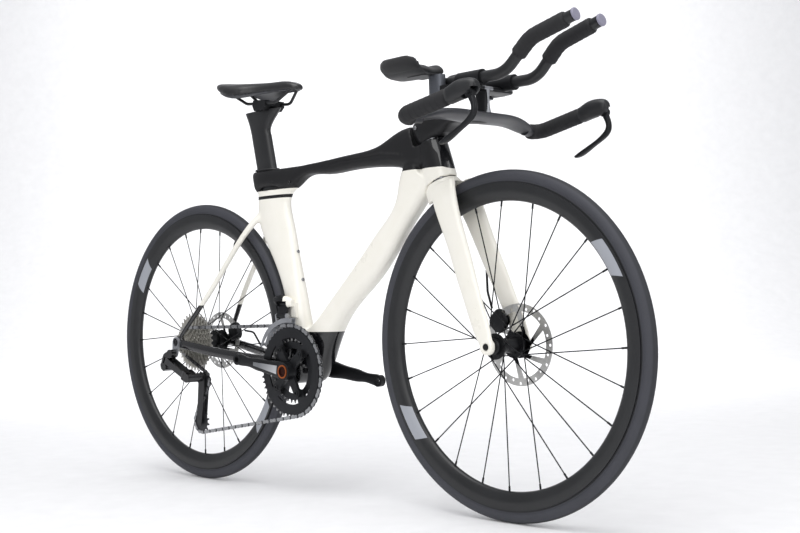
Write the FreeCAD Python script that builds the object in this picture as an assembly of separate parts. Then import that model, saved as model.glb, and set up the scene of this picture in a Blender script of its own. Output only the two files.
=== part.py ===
# Time trial bike, in millimetres: +X forward, +Y to the rider's left, +Z up.
# The origin is on the ground, midway between the wheels.
import FreeCAD, Part
import os
from math import asin, atan2, ceil, copysign, cos, degrees, hypot, pi, radians, sin, sqrt, tan

V = FreeCAD.Vector
Y_AXIS = V(0, 1, 0)
ORIGIN = V(0, 0, 0)

# Layout
WHEELBASE = 975.0
CHAINSTAY = 394.5
BB_DROP = 61.0
HEAD_ANGLE = radians(72.5)
FORK_RAKE = 45.0
FORK_LENGTH = 358.4       # along the steering axis, from the front axle's foot to the crown race
SEAT_ANGLE = radians(77.5)
SEAT_SETBACK = 25.0       # how far the post's line passes behind the bottom bracket

# Clearances
RUNNING = 0.05            # radial, between a shaft and its bore
SIDE_GAP = 0.35           # between neighbours that turn past each other
FIT = 0.02                # between pieces that are pressed or bolted together
TYRE_GAP = 10.5           # tyre to frame
STEER_GAP = 1.6           # crown to frame

# Wheels
TYRE_R = 336.5
TYRE_WIDTH = 25.6
TYRE_WALL = 2.4
RIM_EDGE_R = 311.5
RIM_DEPTH = 35.0
RIM_WIDTH = 26.4
RIM_WALL = 2.6
BEAD_DEPTH = 5.6
SPOKE_COUNT = 24
SPOKE_CROSS = radians(60)
SPOKE_BLADE = 2.3
SPOKE_THICK = 0.9
OUTER_SPOKE_LIFT = 1.1    # outer spokes clear the flange's rim on their way in
NIPPLE_R = 2.0
NIPPLE_LENGTH = 14.0
FLANGE_HOLE_R = 21.0
FLANGE_RIM = 4.0
FLANGE_THICK = 3.0
HUB_BODY_R = 16.0
HUB_WAIST_R = 12.5
LOCK_R = 17.0             # splined seat of the brake rotor
AXLE_R = 6.0
FRONT_HUB_WIDTH = 100.0
REAR_HUB_WIDTH = 142.0
FRONT_ROTOR_R = 80.0
REAR_ROTOR_R = 70.0
ROTOR_THICK = 1.8
ROTOR_BAND = 15.0
FRONT_ROTOR_INSET = 10.4  # rotor to the hub's left end
REAR_ROTOR_INSET = 15.3

# Drive
PITCH = 12.7
CHAIN_LINE = 47.4         # outer chainring and the running sprocket, right of the middle
OUTER_TEETH = 50
INNER_TEETH = 34
COGS = (11, 12, 13, 14, 15, 17, 19, 21, 24, 27, 30, 34)
RUNNING_COG = 5           # index of the sprocket that the chain runs on
COG_PITCH = 3.56
COG_THICK = 1.6
RING_STEP = 7.4
ROLLER_R = 3.85
TOOTH_THICK = 1.7
CRANK_LENGTH = 165.0
CRANK_TILT = radians(8.3)
PEDAL_FACE = 73.0
SPINDLE_R = 12.0
BB_SHELL_R = 29.0
BB_WIDTH = 86.0
GUIDE_TEETH = 11
TENSION_TEETH = 13
PULLEY_SPACING = 99.0
PULLEY_AXLE_R = 2.5

# Seat
POST_CHORD = 66.0
POST_WIDTH = 23.0
POST_GAP = 0.3
POST_INSERT = 145.0
RAIL_R = 3.5
RAIL_SPREAD = 22.0

# Steering
STEERER_R = 14.3
CROWN_R = 44.0
HEAD_LENGTH = 87.0
STEM_REACH = 129.0
STEM_RISE = 82.0
BAR_HALF = 200.0          # middle of the bar to the middle of a grip
GRIP_R = 11.5
TAPE_THICK = 4.2
EXTENSION_R = 11.1
EXTENSION_SPREAD = 46.0
BUTTON_TRAVEL = 2.0

# Points that the rest hangs on
AXLE_Z = TYRE_R
REAR = V(-WHEELBASE / 2, 0, AXLE_Z)
FRONT = V(WHEELBASE / 2, 0, AXLE_Z)
BB = V(REAR.x + sqrt(CHAINSTAY**2 - BB_DROP**2), 0, AXLE_Z - BB_DROP)
STEER_UP = V(-cos(HEAD_ANGLE), 0, sin(HEAD_ANGLE))
STEER_FRONT = V(sin(HEAD_ANGLE), 0, cos(HEAD_ANGLE))
CROWN = FRONT - STEER_FRONT * FORK_RAKE + STEER_UP * FORK_LENGTH
POST_UP = V(-cos(SEAT_ANGLE), 0, sin(SEAT_ANGLE))


def head(ahead, up, side=0.0):
    """A point in the steering frame: ahead of the steering axis, and up from the crown race."""
    return CROWN + STEER_FRONT * ahead + STEER_UP * up + Y_AXIS * side


def seat(height, ahead=0.0, side=0.0):
    """A point at a height over the bottom bracket, ahead of the seat post's line."""
    return V(BB.x - SEAT_SETBACK - height / tan(SEAT_ANGLE) + ahead, side, BB.z + height)


def from_bb(ahead, up, side=0.0):
    return BB + V(ahead, side, up)


def between(a, b, share):
    return a + (b - a) * share


def tyre_side(axle, angle, forward, gap=TYRE_GAP):
    """A point just clear of a tyre, at an angle over the horizontal."""
    return axle + V(forward * cos(angle), 0, sin(angle)) * (TYRE_R + gap)


def oval(centre, along, across, half_along, half_across, square=2.5, egg=0.0):
    """A closed smooth outline: 2 is an ellipse, more is squarer, and egg widens the along end."""
    points = []
    for k in range(12):
        t = 2 * pi * k / 12
        a = copysign(abs(cos(t)) ** (2 / square), cos(t))
        b = copysign(abs(sin(t)) ** (2 / square), sin(t))
        points.append(centre + along * (half_along * a) + across * (half_across * b * (1 + egg * a)))
    return smooth_loop(points)


def smooth_loop(points):
    curve = Part.BSplineCurve()
    curve.interpolate(Points=points, PeriodicFlag=True)
    return Part.Wire([curve.toShape()])


def loft(wires, ruled=False):
    solid = Part.makeLoft(wires, True, ruled)
    if solid.Volume < 0:
        solid.reverse()
    return solid


def side_section(one, other, half_width, square=2.5, egg=0.0):
    """A section between two edge points of a tube that lies along the middle plane."""
    along = one - other
    half = along.Length / 2
    along.normalize()
    return oval(between(one, other, 0.5), along, Y_AXIS, half, half_width, square, egg)


def rod(start, end, radius):
    return Part.makeCylinder(radius, (end - start).Length, start, end - start)


def barrel(centre, inner, outer, radius):
    """A cylinder along Y between two offsets."""
    low, high = min(inner, outer), max(inner, outer)
    return Part.makeCylinder(radius, high - low, V(centre.x, low, centre.z), Y_AXIS)


def ring(centre, inner, outer, radius, hole):
    low, high = min(inner, outer), max(inner, outer)
    return barrel(centre, low, high, radius).cut(barrel(centre, low - 1, high + 1, hole))


def turned(profile, centre):
    """A solid of revolution about Y: the profile is (radius, offset along Y) points."""
    points = [V(r, y, 0) for r, y in profile]
    face = Part.Face(Part.makePolygon(points + points[:1]))
    solid = face.revolve(ORIGIN, Y_AXIS, 360)
    solid.translate(centre)
    return solid


def plate(points, thickness):
    """A flat plate: its outline is a closed list of points, and thickness is a vector."""
    return Part.Face(Part.makePolygon(points + points[:1])).extrude(thickness)


def bent_tube(points, radii, radius):
    """A round bar along straight runs that arcs of the given radii join."""
    edges = []
    start = points[0]
    for before, corner, after, bend in zip(points, points[1:], points[2:], radii):
        inward = (before - corner).normalize()
        onward = (after - corner).normalize()
        half_turn = inward.getAngle(onward) / 2
        reach = bend / tan(half_turn)
        middle = (inward + onward).normalize()
        first, last = corner + inward * reach, corner + onward * reach
        top = corner + middle * (bend / sin(half_turn) - bend)
        edges.append(Part.LineSegment(start, first).toShape())
        edges.append(Part.Arc(first, top, last).toShape())
        start = last
    edges.append(Part.LineSegment(start, points[-1]).toShape())
    path = Part.Wire(edges)
    section = Part.Wire([Part.makeCircle(radius, points[0], points[1] - points[0])])
    return path.makePipeShell([section], True, False)


def both_sides(solid):
    return [solid, solid.mirror(ORIGIN, Y_AXIS)]


def round_edges(solid, radius, choose=None):
    edges = [e for e in solid.Edges if choose is None or choose(e)]
    return solid.makeFillet(radius, edges)


def fused(solids):
    whole = solids[0]
    for solid in solids[1:]:
        whole = whole.fuse(solid)
    return whole


def save(name, *solids):
    shapes = [s for shape in solids for s in shape.Solids]
    Part.makeCompound(shapes).exportStep(os.path.join("parts", name + ".step"))


# Wheels
def make_tyre(centre):
    arc_r = TYRE_R - TYRE_WIDTH / 2
    outer, inner = TYRE_WIDTH / 2, TYRE_WIDTH / 2 - TYRE_WALL
    bead_y = RIM_WIDTH / 2 - RIM_WALL - FIT
    bead_r = RIM_EDGE_R - BEAD_DEPTH + FIT
    out_low = arc_r - sqrt(outer**2 - bead_y**2)
    inner_y = bead_y - TYRE_WALL
    in_low = arc_r - sqrt(inner**2 - inner_y**2)
    crown_out, crown_in = V(arc_r + outer, 0, 0), V(arc_r + inner, 0, 0)
    edges = [
        Part.Arc(V(out_low, -bead_y, 0), crown_out, V(out_low, bead_y, 0)).toShape(),
        Part.makePolygon([V(out_low, bead_y, 0), V(bead_r, bead_y, 0), V(bead_r, inner_y, 0), V(in_low, inner_y, 0)]),
        Part.Arc(V(in_low, inner_y, 0), crown_in, V(in_low, -inner_y, 0)).toShape(),
        Part.makePolygon([V(in_low, -inner_y, 0), V(bead_r, -inner_y, 0), V(bead_r, -bead_y, 0), V(out_low, -bead_y, 0)]),
    ]
    flat = [e for piece in edges for e in piece.Edges]
    tyre = Part.Face(Part.Wire(flat)).revolve(ORIGIN, Y_AXIS, 360)
    tyre.translate(centre)
    return tyre


def make_rim(centre):
    half = RIM_WIDTH / 2
    shoulder = RIM_EDGE_R - 8.0
    nose = RIM_EDGE_R - RIM_DEPTH
    depth = shoulder - nose
    well = half - RIM_WALL
    floor = RIM_EDGE_R - BEAD_DEPTH
    nose_points = []
    for k in range(7):
        t = pi * k / 6
        nose_points.append(V(shoulder - depth * sin(t), half * cos(t), 0))
    curve = Part.BSplineCurve()
    curve.interpolate(Points=nose_points, InitialTangent=V(-1, 0, 0), FinalTangent=V(1, 0, 0))
    drop = 3.0
    bed = [
        V(shoulder, -half, 0), V(RIM_EDGE_R, -half, 0), V(RIM_EDGE_R, -well, 0), V(floor, -well, 0),
        V(floor, -well / 2, 0), V(floor - drop, -well / 3, 0), V(floor - drop, well / 3, 0), V(floor, well / 2, 0),
        V(floor, well, 0), V(RIM_EDGE_R, well, 0), V(RIM_EDGE_R, half, 0), V(shoulder, half, 0),
    ]
    face = Part.Face(Part.Wire([curve.toShape()] + Part.makePolygon(bed).Edges))
    rim = face.revolve(ORIGIN, Y_AXIS, 360)
    rim.translate(centre)
    return rim


def make_spoke(hub_point, rim_point, flange_y, out):
    """A flat-bladed spoke with its elbow through the flange and its nipple at the rim."""
    run = rim_point - hub_point
    length = run.Length
    way = V(run).normalize()
    flat = way.cross(Y_AXIS).normalize() * (SPOKE_BLADE / 2)
    thin = way.cross(flat).normalize() * (SPOKE_THICK / 2)
    corners = [hub_point + flat + thin, hub_point - flat + thin, hub_point - flat - thin, hub_point + flat - thin]
    blade = plate(corners, way * (length - NIPPLE_LENGTH / 2))
    nipple = rod(rim_point - way * NIPPLE_LENGTH, rim_point, NIPPLE_R)
    elbow_r = SPOKE_BLADE / 2
    far = V(hub_point.x, flange_y - out * (FLANGE_THICK / 2 + 0.8), hub_point.z)
    elbow = rod(hub_point + Y_AXIS * (out * SPOKE_THICK), far, elbow_r)
    return fused([blade, nipple, elbow])


def make_spokes(centre, flanges, rim):
    spokes = []
    seat_r = RIM_EDGE_R - RIM_DEPTH + 4.0
    for k in range(SPOKE_COUNT):
        flange_y = flanges[k % 2]
        out = 1 if (k // 2) % 2 else -1
        rim_angle = 2 * pi * k / SPOKE_COUNT
        hub_angle = rim_angle + out * SPOKE_CROSS
        tuck = OUTER_SPOKE_LIFT if out * flange_y > 0 else 0
        hub_y = flange_y + out * (FLANGE_THICK / 2 + SPOKE_THICK + tuck)
        hub_point = centre + V(FLANGE_HOLE_R * cos(hub_angle), hub_y, FLANGE_HOLE_R * sin(hub_angle))
        lean = copysign(2.0, flange_y)
        rim_point = centre + V(seat_r * cos(rim_angle), lean, seat_r * sin(rim_angle))
        spokes.append(make_spoke(hub_point, rim_point, flange_y, out).cut(rim))
    return spokes


def drill_flanges(hub, centre, flanges):
    holes = []
    for k in range(SPOKE_COUNT):
        out = 1 if (k // 2) % 2 else -1
        angle = 2 * pi * k / SPOKE_COUNT + out * SPOKE_CROSS
        spot = centre + V(FLANGE_HOLE_R * cos(angle), 0, FLANGE_HOLE_R * sin(angle))
        y = flanges[k % 2]
        holes.append(barrel(spot, y - FLANGE_THICK, y + FLANGE_THICK, SPOKE_BLADE / 2 + FIT))
    return hub.cut(Part.makeCompound(holes))


def hub_profile(right_end, left_end, flanges, rotor_y):
    """Half section of a hub shell, from its right end to its left end."""
    right, left = flanges[0], flanges[1]
    half = FLANGE_THICK / 2
    rim = FLANGE_HOLE_R + FLANGE_RIM
    cap = AXLE_R + 4.0
    bore = AXLE_R + RUNNING
    if right - right_end > 12:
        start = [(bore, right_end), (cap, right_end), (cap, right - 10), (HUB_BODY_R, right - 7)]
    else:
        start = [(bore, right_end), (HUB_BODY_R, right_end)]
    return start + [
        (HUB_BODY_R, right - half), (rim, right - half), (rim, right + half), (HUB_BODY_R, right + half),
        (HUB_WAIST_R, (left + right) / 2), (HUB_BODY_R, left - half), (rim, left - half), (rim, left + half),
        (LOCK_R, left + half), (LOCK_R, rotor_y + 4), (cap, rotor_y + 4), (cap, left_end), (bore, left_end),
    ]


def make_rotor(centre, y, radius):
    """A stamped brake disc: a drilled band on slanted arms round its splined carrier."""
    thick = V(0, ROTOR_THICK, 0)
    base = V(centre.x, y - ROTOR_THICK / 2, centre.z)
    inner = radius - ROTOR_BAND
    carrier = LOCK_R + 9.0
    pieces = [
        ring(centre, base.y, base.y + ROTOR_THICK, radius, inner),
        ring(centre, base.y, base.y + ROTOR_THICK, carrier, LOCK_R + FIT),
    ]
    arm_count, slant, arm_half = 6, radians(32), radians(5.5)
    for k in range(arm_count):
        a = 2 * pi * k / arm_count
        corners = []
        for r, angle, half in ((carrier - 2, a, arm_half * 2), (inner + 2, a + slant, arm_half)):
            corners.append([V(r * cos(angle + s * half), 0, r * sin(angle + s * half)) for s in (-1, 1)])
        outline = [corners[0][0], corners[1][0], corners[1][1], corners[0][1]]
        pieces.append(plate([base + p for p in outline], thick))
    disc = fused(pieces)
    hole_count, hole_r = 24, 3.0
    holes = []
    for k in range(hole_count):
        a = 2 * pi * k / hole_count
        r = inner + ROTOR_BAND * (0.36 if k % 2 else 0.64)
        spot = centre + V(r * cos(a), 0, r * sin(a))
        holes.append(barrel(spot, y - ROTOR_THICK, y + ROTOR_THICK, hole_r))
    return disc.cut(Part.makeCompound(holes))


FRONT_FLANGES = (-33.0, 22.0)
REAR_FLANGES = (-17.0, 33.0)
FRONT_ROTOR_Y = FRONT_HUB_WIDTH / 2 - FRONT_ROTOR_INSET
REAR_ROTOR_Y = REAR_HUB_WIDTH / 2 - REAR_ROTOR_INSET
FREEHUB_JOIN = -20.6      # where the freehub body meets the rear hub shell


def make_wheel(name, centre, flanges, right_end, left_end, rotor_y, rotor_r):
    rim = make_rim(centre)
    hub = turned(hub_profile(right_end, left_end, flanges, rotor_y), centre)
    save(name + "_tyre", make_tyre(centre))
    save(name + "_rim", rim)
    save(name + "_spokes", *make_spokes(centre, flanges, rim))
    save(name + "_hub", drill_flanges(hub, centre, flanges))
    save(name + "_rotor", make_rotor(centre, rotor_y, rotor_r))


def make_wheels():
    end = FRONT_HUB_WIDTH / 2 - SIDE_GAP
    make_wheel("front", FRONT, FRONT_FLANGES, -end, end, FRONT_ROTOR_Y, FRONT_ROTOR_R)
    end = REAR_HUB_WIDTH / 2 - SIDE_GAP
    make_wheel("rear", REAR, REAR_FLANGES, FREEHUB_JOIN + SIDE_GAP, end, REAR_ROTOR_Y, REAR_ROTOR_R)


# Frame
HEAD_BACK = 42.0
HEAD_NOSE = 29.0
HEAD_HALF = 27.0
LOWER_BEARING_R = 23.5
UPPER_BEARING_R = 20.9
BEARING_HEIGHT = 8.0
STEM_TURN_R = 43.0        # hollow behind the stem, about the steering axis
CLUSTER_LOW = 411.0       # heights over the bottom bracket
CLUSTER_TOP = 459.5
TUBE_LOW = 432.0
BOSS_HEIGHTS = (203.0, 267.0)
BOSS_R = 2.1
BOSS_DEPTH = 14.0


def about_steering(profile):
    """A solid turned about the steering axis, from (radius, up) points."""
    points = [head(r, up) for r, up in profile]
    return Part.Face(Part.makePolygon(points + points[:1])).revolve(CROWN, STEER_UP, 360)


def crown_room():
    r = CROWN_R + STEER_GAP
    return about_steering([(0, 0.7), (r - 12, 0.7), (r - 3, -3), (r, -11), (r, -90), (0, -90)])


def post_section(height, grow=0.0, chord=POST_CHORD, width=POST_WIDTH, ahead=0.0):
    return oval(seat(height, ahead), V(1, 0, 0), Y_AXIS, chord / 2 + grow, width / 2 + grow, 2.3, 0.12)


def post_socket():
    low = CLUSTER_TOP - POST_INSERT - 25
    return loft([post_section(low, POST_GAP), post_section(CLUSTER_TOP + 30, POST_GAP)])


def make_head_tube():
    bottom, top = 0.7, HEAD_LENGTH
    rings = []
    for up, back, nose, half in (
        (bottom, HEAD_BACK + 2, HEAD_NOSE, HEAD_HALF), (top * 0.45, HEAD_BACK, HEAD_NOSE, HEAD_HALF - 1.5),
        (top, HEAD_BACK - 4, HEAD_NOSE - 2, HEAD_HALF - 2),
    ):
        rings.append(oval(head((nose - back) / 2, up), STEER_FRONT, Y_AXIS, (nose + back) / 2, half, 2.2))
    low, high = LOWER_BEARING_R + FIT, UPPER_BEARING_R + FIT
    bore = STEERER_R + 4
    hollow = about_steering([
        (0, -5), (low, -5), (low, bottom + BEARING_HEIGHT), (bore, bottom + BEARING_HEIGHT),
        (bore, top - BEARING_HEIGHT), (high, top - BEARING_HEIGHT), (high, top + 5), (0, top + 5),
    ])
    return loft(rings).cut(hollow)


def make_frame_bearings():
    inner = STEERER_R + RUNNING
    bearings = []
    for low, radius in ((0.7, LOWER_BEARING_R), (HEAD_LENGTH - BEARING_HEIGHT + FIT, UPPER_BEARING_R)):
        high = low + BEARING_HEIGHT - FIT
        bearings.append(about_steering([(inner, low), (radius, low), (radius, high), (inner, high)]))
    cup_r = BB_SHELL_R - 4
    for side in (-1, 1):
        face = side * (BB_WIDTH / 2 - 0.3)
        bearings.append(ring(BB, side * (BB_WIDTH / 2 - 8), face, cup_r - FIT, SPINDLE_R + RUNNING))
    return bearings


def make_top_tube(head_tube):
    back = seat(TUBE_LOW, 132)
    front = head(-107, 73)

    def along(share, low, top, half, square=2.6):
        x = back.x + (front.x - back.x) * share
        return side_section(V(x, 0, BB.z + low), V(x, 0, BB.z + top), half, square)

    sections = [
        side_section(seat(CLUSTER_LOW, -43), seat(CLUSTER_TOP, -43), 13, 3),
        side_section(seat(CLUSTER_LOW, -30), seat(CLUSTER_TOP, -30), 18, 3),
        side_section(seat(CLUSTER_LOW, 58), seat(CLUSTER_TOP, 68), 18.5, 3),
        side_section(seat(CLUSTER_LOW + 1, 94), seat(CLUSTER_TOP, 112), 18, 3),
        side_section(seat(TUBE_LOW - 4, 125), seat(CLUSTER_TOP, 136), 17.5, 3),
        along(0.24, TUBE_LOW + 1, CLUSTER_TOP + 3.5, 17.5, 3),
        along(0.54, TUBE_LOW + 3, CLUSTER_TOP + 9, 18, 3),
        along(0.83, TUBE_LOW + 1, CLUSTER_TOP + 19, 20, 3),
        side_section(head(-107, 73), head(-93, 141), 22, 3),
        side_section(head(-80, 56), head(-58, 140), 24, 3),
        side_section(head(-20, 45), head(-20, 138), 25, 3),
    ]
    turn = about_steering([(0, HEAD_LENGTH), (STEM_TURN_R, HEAD_LENGTH), (STEM_TURN_R, 190), (0, 190)])
    nose_room = about_steering([(0, -40), (HEAD_BACK - 6, -40), (HEAD_BACK - 6, 190), (0, 190)])
    return loft(sections).cut(turn).cut(head_tube).cut(nose_room).cut(post_socket())


def make_down_tube(head_tube, top_tube, shell):
    low, high = from_bb(74, 134), head(-146, -3)

    def upper(share):
        return between(low, high, share)

    def wheel(angle, gap=TYRE_GAP):
        return tyre_side(FRONT, pi - radians(angle), 1, gap)

    sections = [
        side_section(from_bb(-12, 88), from_bb(52, -22), 36, 2.4),
        side_section(from_bb(24, 96), from_bb(84, 30), 34, 2.4),
        side_section(upper(0), from_bb(118, 90), 28),
        side_section(upper(0.27), from_bb(176, 148), 23.5),
        side_section(upper(0.57), from_bb(244, 200), 22.5),
        side_section(upper(0.83), wheel(35.4), 22.5),
        side_section(upper(1), wheel(43.5), 23.5),
        side_section(head(-122, 22), wheel(51.5, TYRE_GAP + 3), 25),
        side_section(head(-106, 50), head(-44, -11), 26.5),
        side_section(head(-62, 74), head(-22, 2), 27),
    ]
    tube = loft(sections).cut(crown_room()).cut(top_tube).cut(head_tube)
    nose_room = about_steering([(0, -40), (HEAD_BACK - 6, -40), (HEAD_BACK - 6, 120), (0, 120)])
    return tube.cut(nose_room).cut(shell)


def seat_tube_edges(height):
    """The rear and front edges of the seat tube at a height over the bottom bracket."""
    z = BB.z + height - REAR.z
    reach = TYRE_R + TYRE_GAP
    behind = REAR.x + sqrt(max(reach**2 - z**2, 0))
    blend = min(max((height - 335) / 76, 0), 1)
    rear = max(behind, seat(height).x - 50 + 8 * blend)
    front = seat(height).x + 62 + 36 * max(0, (height - 375) / 36) ** 2
    return rear, front


def make_seat_tube(top_tube, down_tube, shell):
    sections = []
    for height, half in ((20, 30), (60, 26), (110, 22.5), (190, 20.5), (270, 19), (335, 19), (380, 18.5), (411.5, 18)):
        rear, front = seat_tube_edges(height)
        z = BB.z + height
        sections.append(side_section(V(front, 0, z), V(rear, 0, z), half, 2.4, -0.12))
    tube = loft(sections).cut(top_tube).cut(down_tube).cut(shell).cut(post_socket())
    for height in BOSS_HEIGHTS:
        tube = tube.cut(Part.makeCylinder(BOSS_R, BOSS_DEPTH + 20, boss_bottom(height), BOSS_WAY))
    return max(tube.Solids, key=lambda s: s.Volume)


BOSS_WAY = V(sin(SEAT_ANGLE), 0, cos(SEAT_ANGLE))


def boss_bottom(height):
    return seat(height, 62) - BOSS_WAY * BOSS_DEPTH


def make_shell():
    return ring(BB, -BB_WIDTH / 2, BB_WIDTH / 2, BB_SHELL_R, BB_SHELL_R - 4)


STAY_END_Y = REAR_HUB_WIDTH / 2
DROPOUT_THICK = 8.0
DROPOUT_R = 15.0


def stay_loft(stations, back):
    """A stay from (forward of the rear axle, side, over the axle, half height, half width) stations."""
    wires = []
    for x, y, z, high, wide in stations:
        wires.append(oval(back + V(x, y, z), V(0, 0, 1), Y_AXIS, high, wide, 2.4))
    return loft(wires)


def dropout(side):
    y = side * STAY_END_Y
    return barrel(REAR, y, y + side * DROPOUT_THICK, DROPOUT_R)


def make_chainstays(shell, seat_tube, down_tube):
    reach = BB.x - REAR.x
    drop = BB_DROP
    middle = STAY_END_Y + DROPOUT_THICK / 2
    stations = [
        (reach - 14, 27, 8 - drop, 17, 9.5), (reach - 78, 28, 17 - drop, 13.5, 8.5),
        (reach * 0.635, 38, 23.5 - drop, 12, 8), (reach * 0.43, 54, 33 - drop, 12, 8),
        (reach * 0.2, 68, 46.5 - drop, 11.5, 7.2), (reach * 0.015, middle, -2.5, 12, 3.6),
    ]
    hole = barrel(REAR, -200, 200, AXLE_R + FIT)
    stays = []
    for side in (-1, 1):
        places = [(x, side * y, z, high, wide) for x, y, z, high, wide in stations]
        stay = fused([stay_loft(places, REAR), dropout(side)])
        stays.append(stay.cut(shell).cut(seat_tube).cut(down_tube).cut(hole))
    return [max(s.Solids, key=lambda one: one.Volume) for s in stays]


def make_seatstays(seat_tube, top_tube, chainstays):
    middle = STAY_END_Y + DROPOUT_THICK / 2
    root = seat(362, -28, 8)
    knee = seat(345, -46, 20)
    end = REAR + V(4, middle + 0.2, 8)
    points = [root, knee, between(knee, end, 0.5), between(knee, end, 0.85), end]
    halves = ((9, 7), (8.5, 7), (7, 6), (6.5, 5.5), (6, 3.6))
    stays = []
    for side in (-1, 1):
        wires = []
        for point, (deep, wide) in zip(points, halves):
            spot = V(point.x, side * point.y, point.z)
            wires.append(oval(spot, V(0.77, 0, -0.64), Y_AXIS, deep, wide, 2.2))
        stay = loft(wires).cut(seat_tube).cut(top_tube).cut(Part.makeCompound(chainstays)).cut(post_socket())
        stays.append(max(stay.Solids, key=lambda one: one.Volume))
    return stays


def make_frame():
    shell = make_shell()
    head_tube = make_head_tube()
    top_tube = make_top_tube(head_tube)
    down_tube = make_down_tube(head_tube, top_tube, shell)
    seat_tube = make_seat_tube(top_tube, down_tube, shell)
    chainstays = make_chainstays(shell, seat_tube, down_tube)
    seatstays = make_seatstays(seat_tube, top_tube, chainstays)
    save("head_tube", head_tube)
    save("top_tube", top_tube)
    save("down_tube", down_tube)
    save("seat_tube", seat_tube)
    save("bottom_bracket_shell", shell)
    save("chainstays", *chainstays)
    save("seatstays", *seatstays)
    save("frame_bearings", *make_frame_bearings())
    end = STAY_END_Y + DROPOUT_THICK
    save("rear_axle", fused([barrel(REAR, -end, end, AXLE_R), barrel(REAR, end, end + 3, AXLE_R + 3.5)]))
    return seat_tube, chainstays


# Fork
FORK_END_Y = FRONT_HUB_WIDTH / 2
FORK_TIP_THICK = 12.0
FORK_TIP_R = 16.0
CHANNEL_HALF = 19.5
STEERER_TOP = 134.0


def make_fork():
    crown = loft([
        oval(head((front - back) / 2, up), STEER_FRONT, Y_AXIS, (front + back) / 2, half, 2.3)
        for up, back, front, half in ((0, 35, 27, 25), (-5, 41.5, 31, 28), (-18, CROWN_R, 34, 34), (-40, 42, 42, 39))
    ])
    foot = -FORK_LENGTH
    top = -31.0

    def station(share, side, chord, half):
        up = top + (foot - top) * share
        ahead = 16.6 + (FORK_RAKE - 16.6) * share
        return oval(head(ahead, up, side), STEER_FRONT, Y_AXIS, chord, half, 2.2)

    end_mid = FORK_END_Y + FORK_TIP_THICK / 2
    blade = loft([
        station(-0.06, 22, 32, 11), station(0, 30.5, 32, 9.5), station(0.21, 40, 27.6, 8.5), station(0.55, 48, 24.4, 7.5),
        station(0.79, 53.5, 22, 6.2), station(0.96, end_mid, 17.5, 5.4), station(1.035, end_mid, 9, 4.5),
    ])
    tip = barrel(FRONT, FORK_END_Y, FORK_END_Y + FORK_TIP_THICK, FORK_TIP_R)
    leg = fused([blade, tip])
    wheel_room = barrel(FRONT, -CHANNEL_HALF, CHANNEL_HALF, TYRE_R + TYRE_GAP - 1)
    wheel_room = wheel_room.cut(barrel(FRONT, -100, 100, TYRE_R * 0.3))
    hub_room = barrel(FRONT, -FORK_END_Y, FORK_END_Y, 60)
    steerer = rod(head(0, -6), head(0, STEERER_TOP), STEERER_R)
    body = fused([crown] + both_sides(leg) + [steerer])
    hole = barrel(FRONT, -100, 100, AXLE_R + FIT)
    return body.cut(wheel_room).cut(hub_room).cut(hole)


def make_front_axle():
    end = FORK_END_Y + FORK_TIP_THICK
    return fused([barrel(FRONT, -end, end, AXLE_R), barrel(FRONT, end, end + 3, AXLE_R + 3.5)])


# Cockpit
BAR = head(STEM_REACH, STEM_RISE)
STEM_HALF = 21.0
WING_HALF_CHORD = 30.0
WING_HALF_THICK = 9.5
HORN_RISE = 9.0           # the grip's front end over the middle of the bar
HORN_REACH = 100.0
TOWER_HEIGHT = 56.0       # middle of the extensions over the middle of the bar
HORN_CURVE = 24.0
EXTENSION_BEND = 105.0    # ahead of the bar
EXTENSION_TILT = radians(43.5)
EXTENSION_RUN = 83.0      # bend to crest
EXTENSION_CURVE = 60.0
GRIP_TILT = radians(14.6)
GRIP_RUN = 99.0           # crest to tip
LEVER_SWING_X = 153.0
CLAMP_WALL = 4.5
PAD_OUT = 92.0            # middle of an arm pad from the middle plane
PAD_BACK = 88.0           # middle of an arm pad behind the bar
PAD_BASE = 80.0           # arm-rest plate over the bar


def from_bar(ahead, up, side=0.0):
    return BAR + V(ahead, side, up)


def make_stem():
    base = HEAD_LENGTH + SIDE_GAP
    sections = [
        side_section(head(-37, STEERER_TOP + 5), head(-37, base + 12), 12, 2.4),
        side_section(head(-27, STEERER_TOP + 7), head(-25, base - 4), 19, 2.6),
        side_section(head(8, STEERER_TOP + 7), head(6, base - 4), STEM_HALF, 2.6),
        side_section(head(36, STEERER_TOP - 7), head(35, base - 2), STEM_HALF + 1, 2.6),
        side_section(from_bar(-66, 15), from_bar(-68, -12), STEM_HALF + 5, 2.8),
        side_section(from_bar(-30, 9.5), from_bar(-30, -10.5), STEM_HALF + 11, 3),
        side_section(from_bar(0, 8), from_bar(0, -9), STEM_HALF + 14, 3),
    ]
    body = loft(sections)
    flat = about_steering([(0, base - 40), (90, base - 40), (90, base), (0, base)])
    bore = rod(head(0, 0), head(0, STEERER_TOP + FIT), STEERER_R + FIT)
    cap = rod(head(0, STEERER_TOP), head(0, STEERER_TOP + 12), 11)
    return fused([body, cap]).cut(flat).cut(bore)


def wing_section(side, back, up, half_chord, half_thick):
    return oval(from_bar(-back, up, side), V(0.995, 0, 0.0995), V(0.0995, 0, -0.995), half_chord, half_thick, 2.1, -0.25)


def horn_line(side):
    """The middle line of one horn of the base bar, from inside the wing to its front end."""
    return [
        from_bar(-14, -12.5, side * (BAR_HALF - 48)), from_bar(-21, -15.5, side * (BAR_HALF + 2)),
        from_bar(HORN_REACH, HORN_RISE - 1, side * (BAR_HALF - 4)),
    ]


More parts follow.
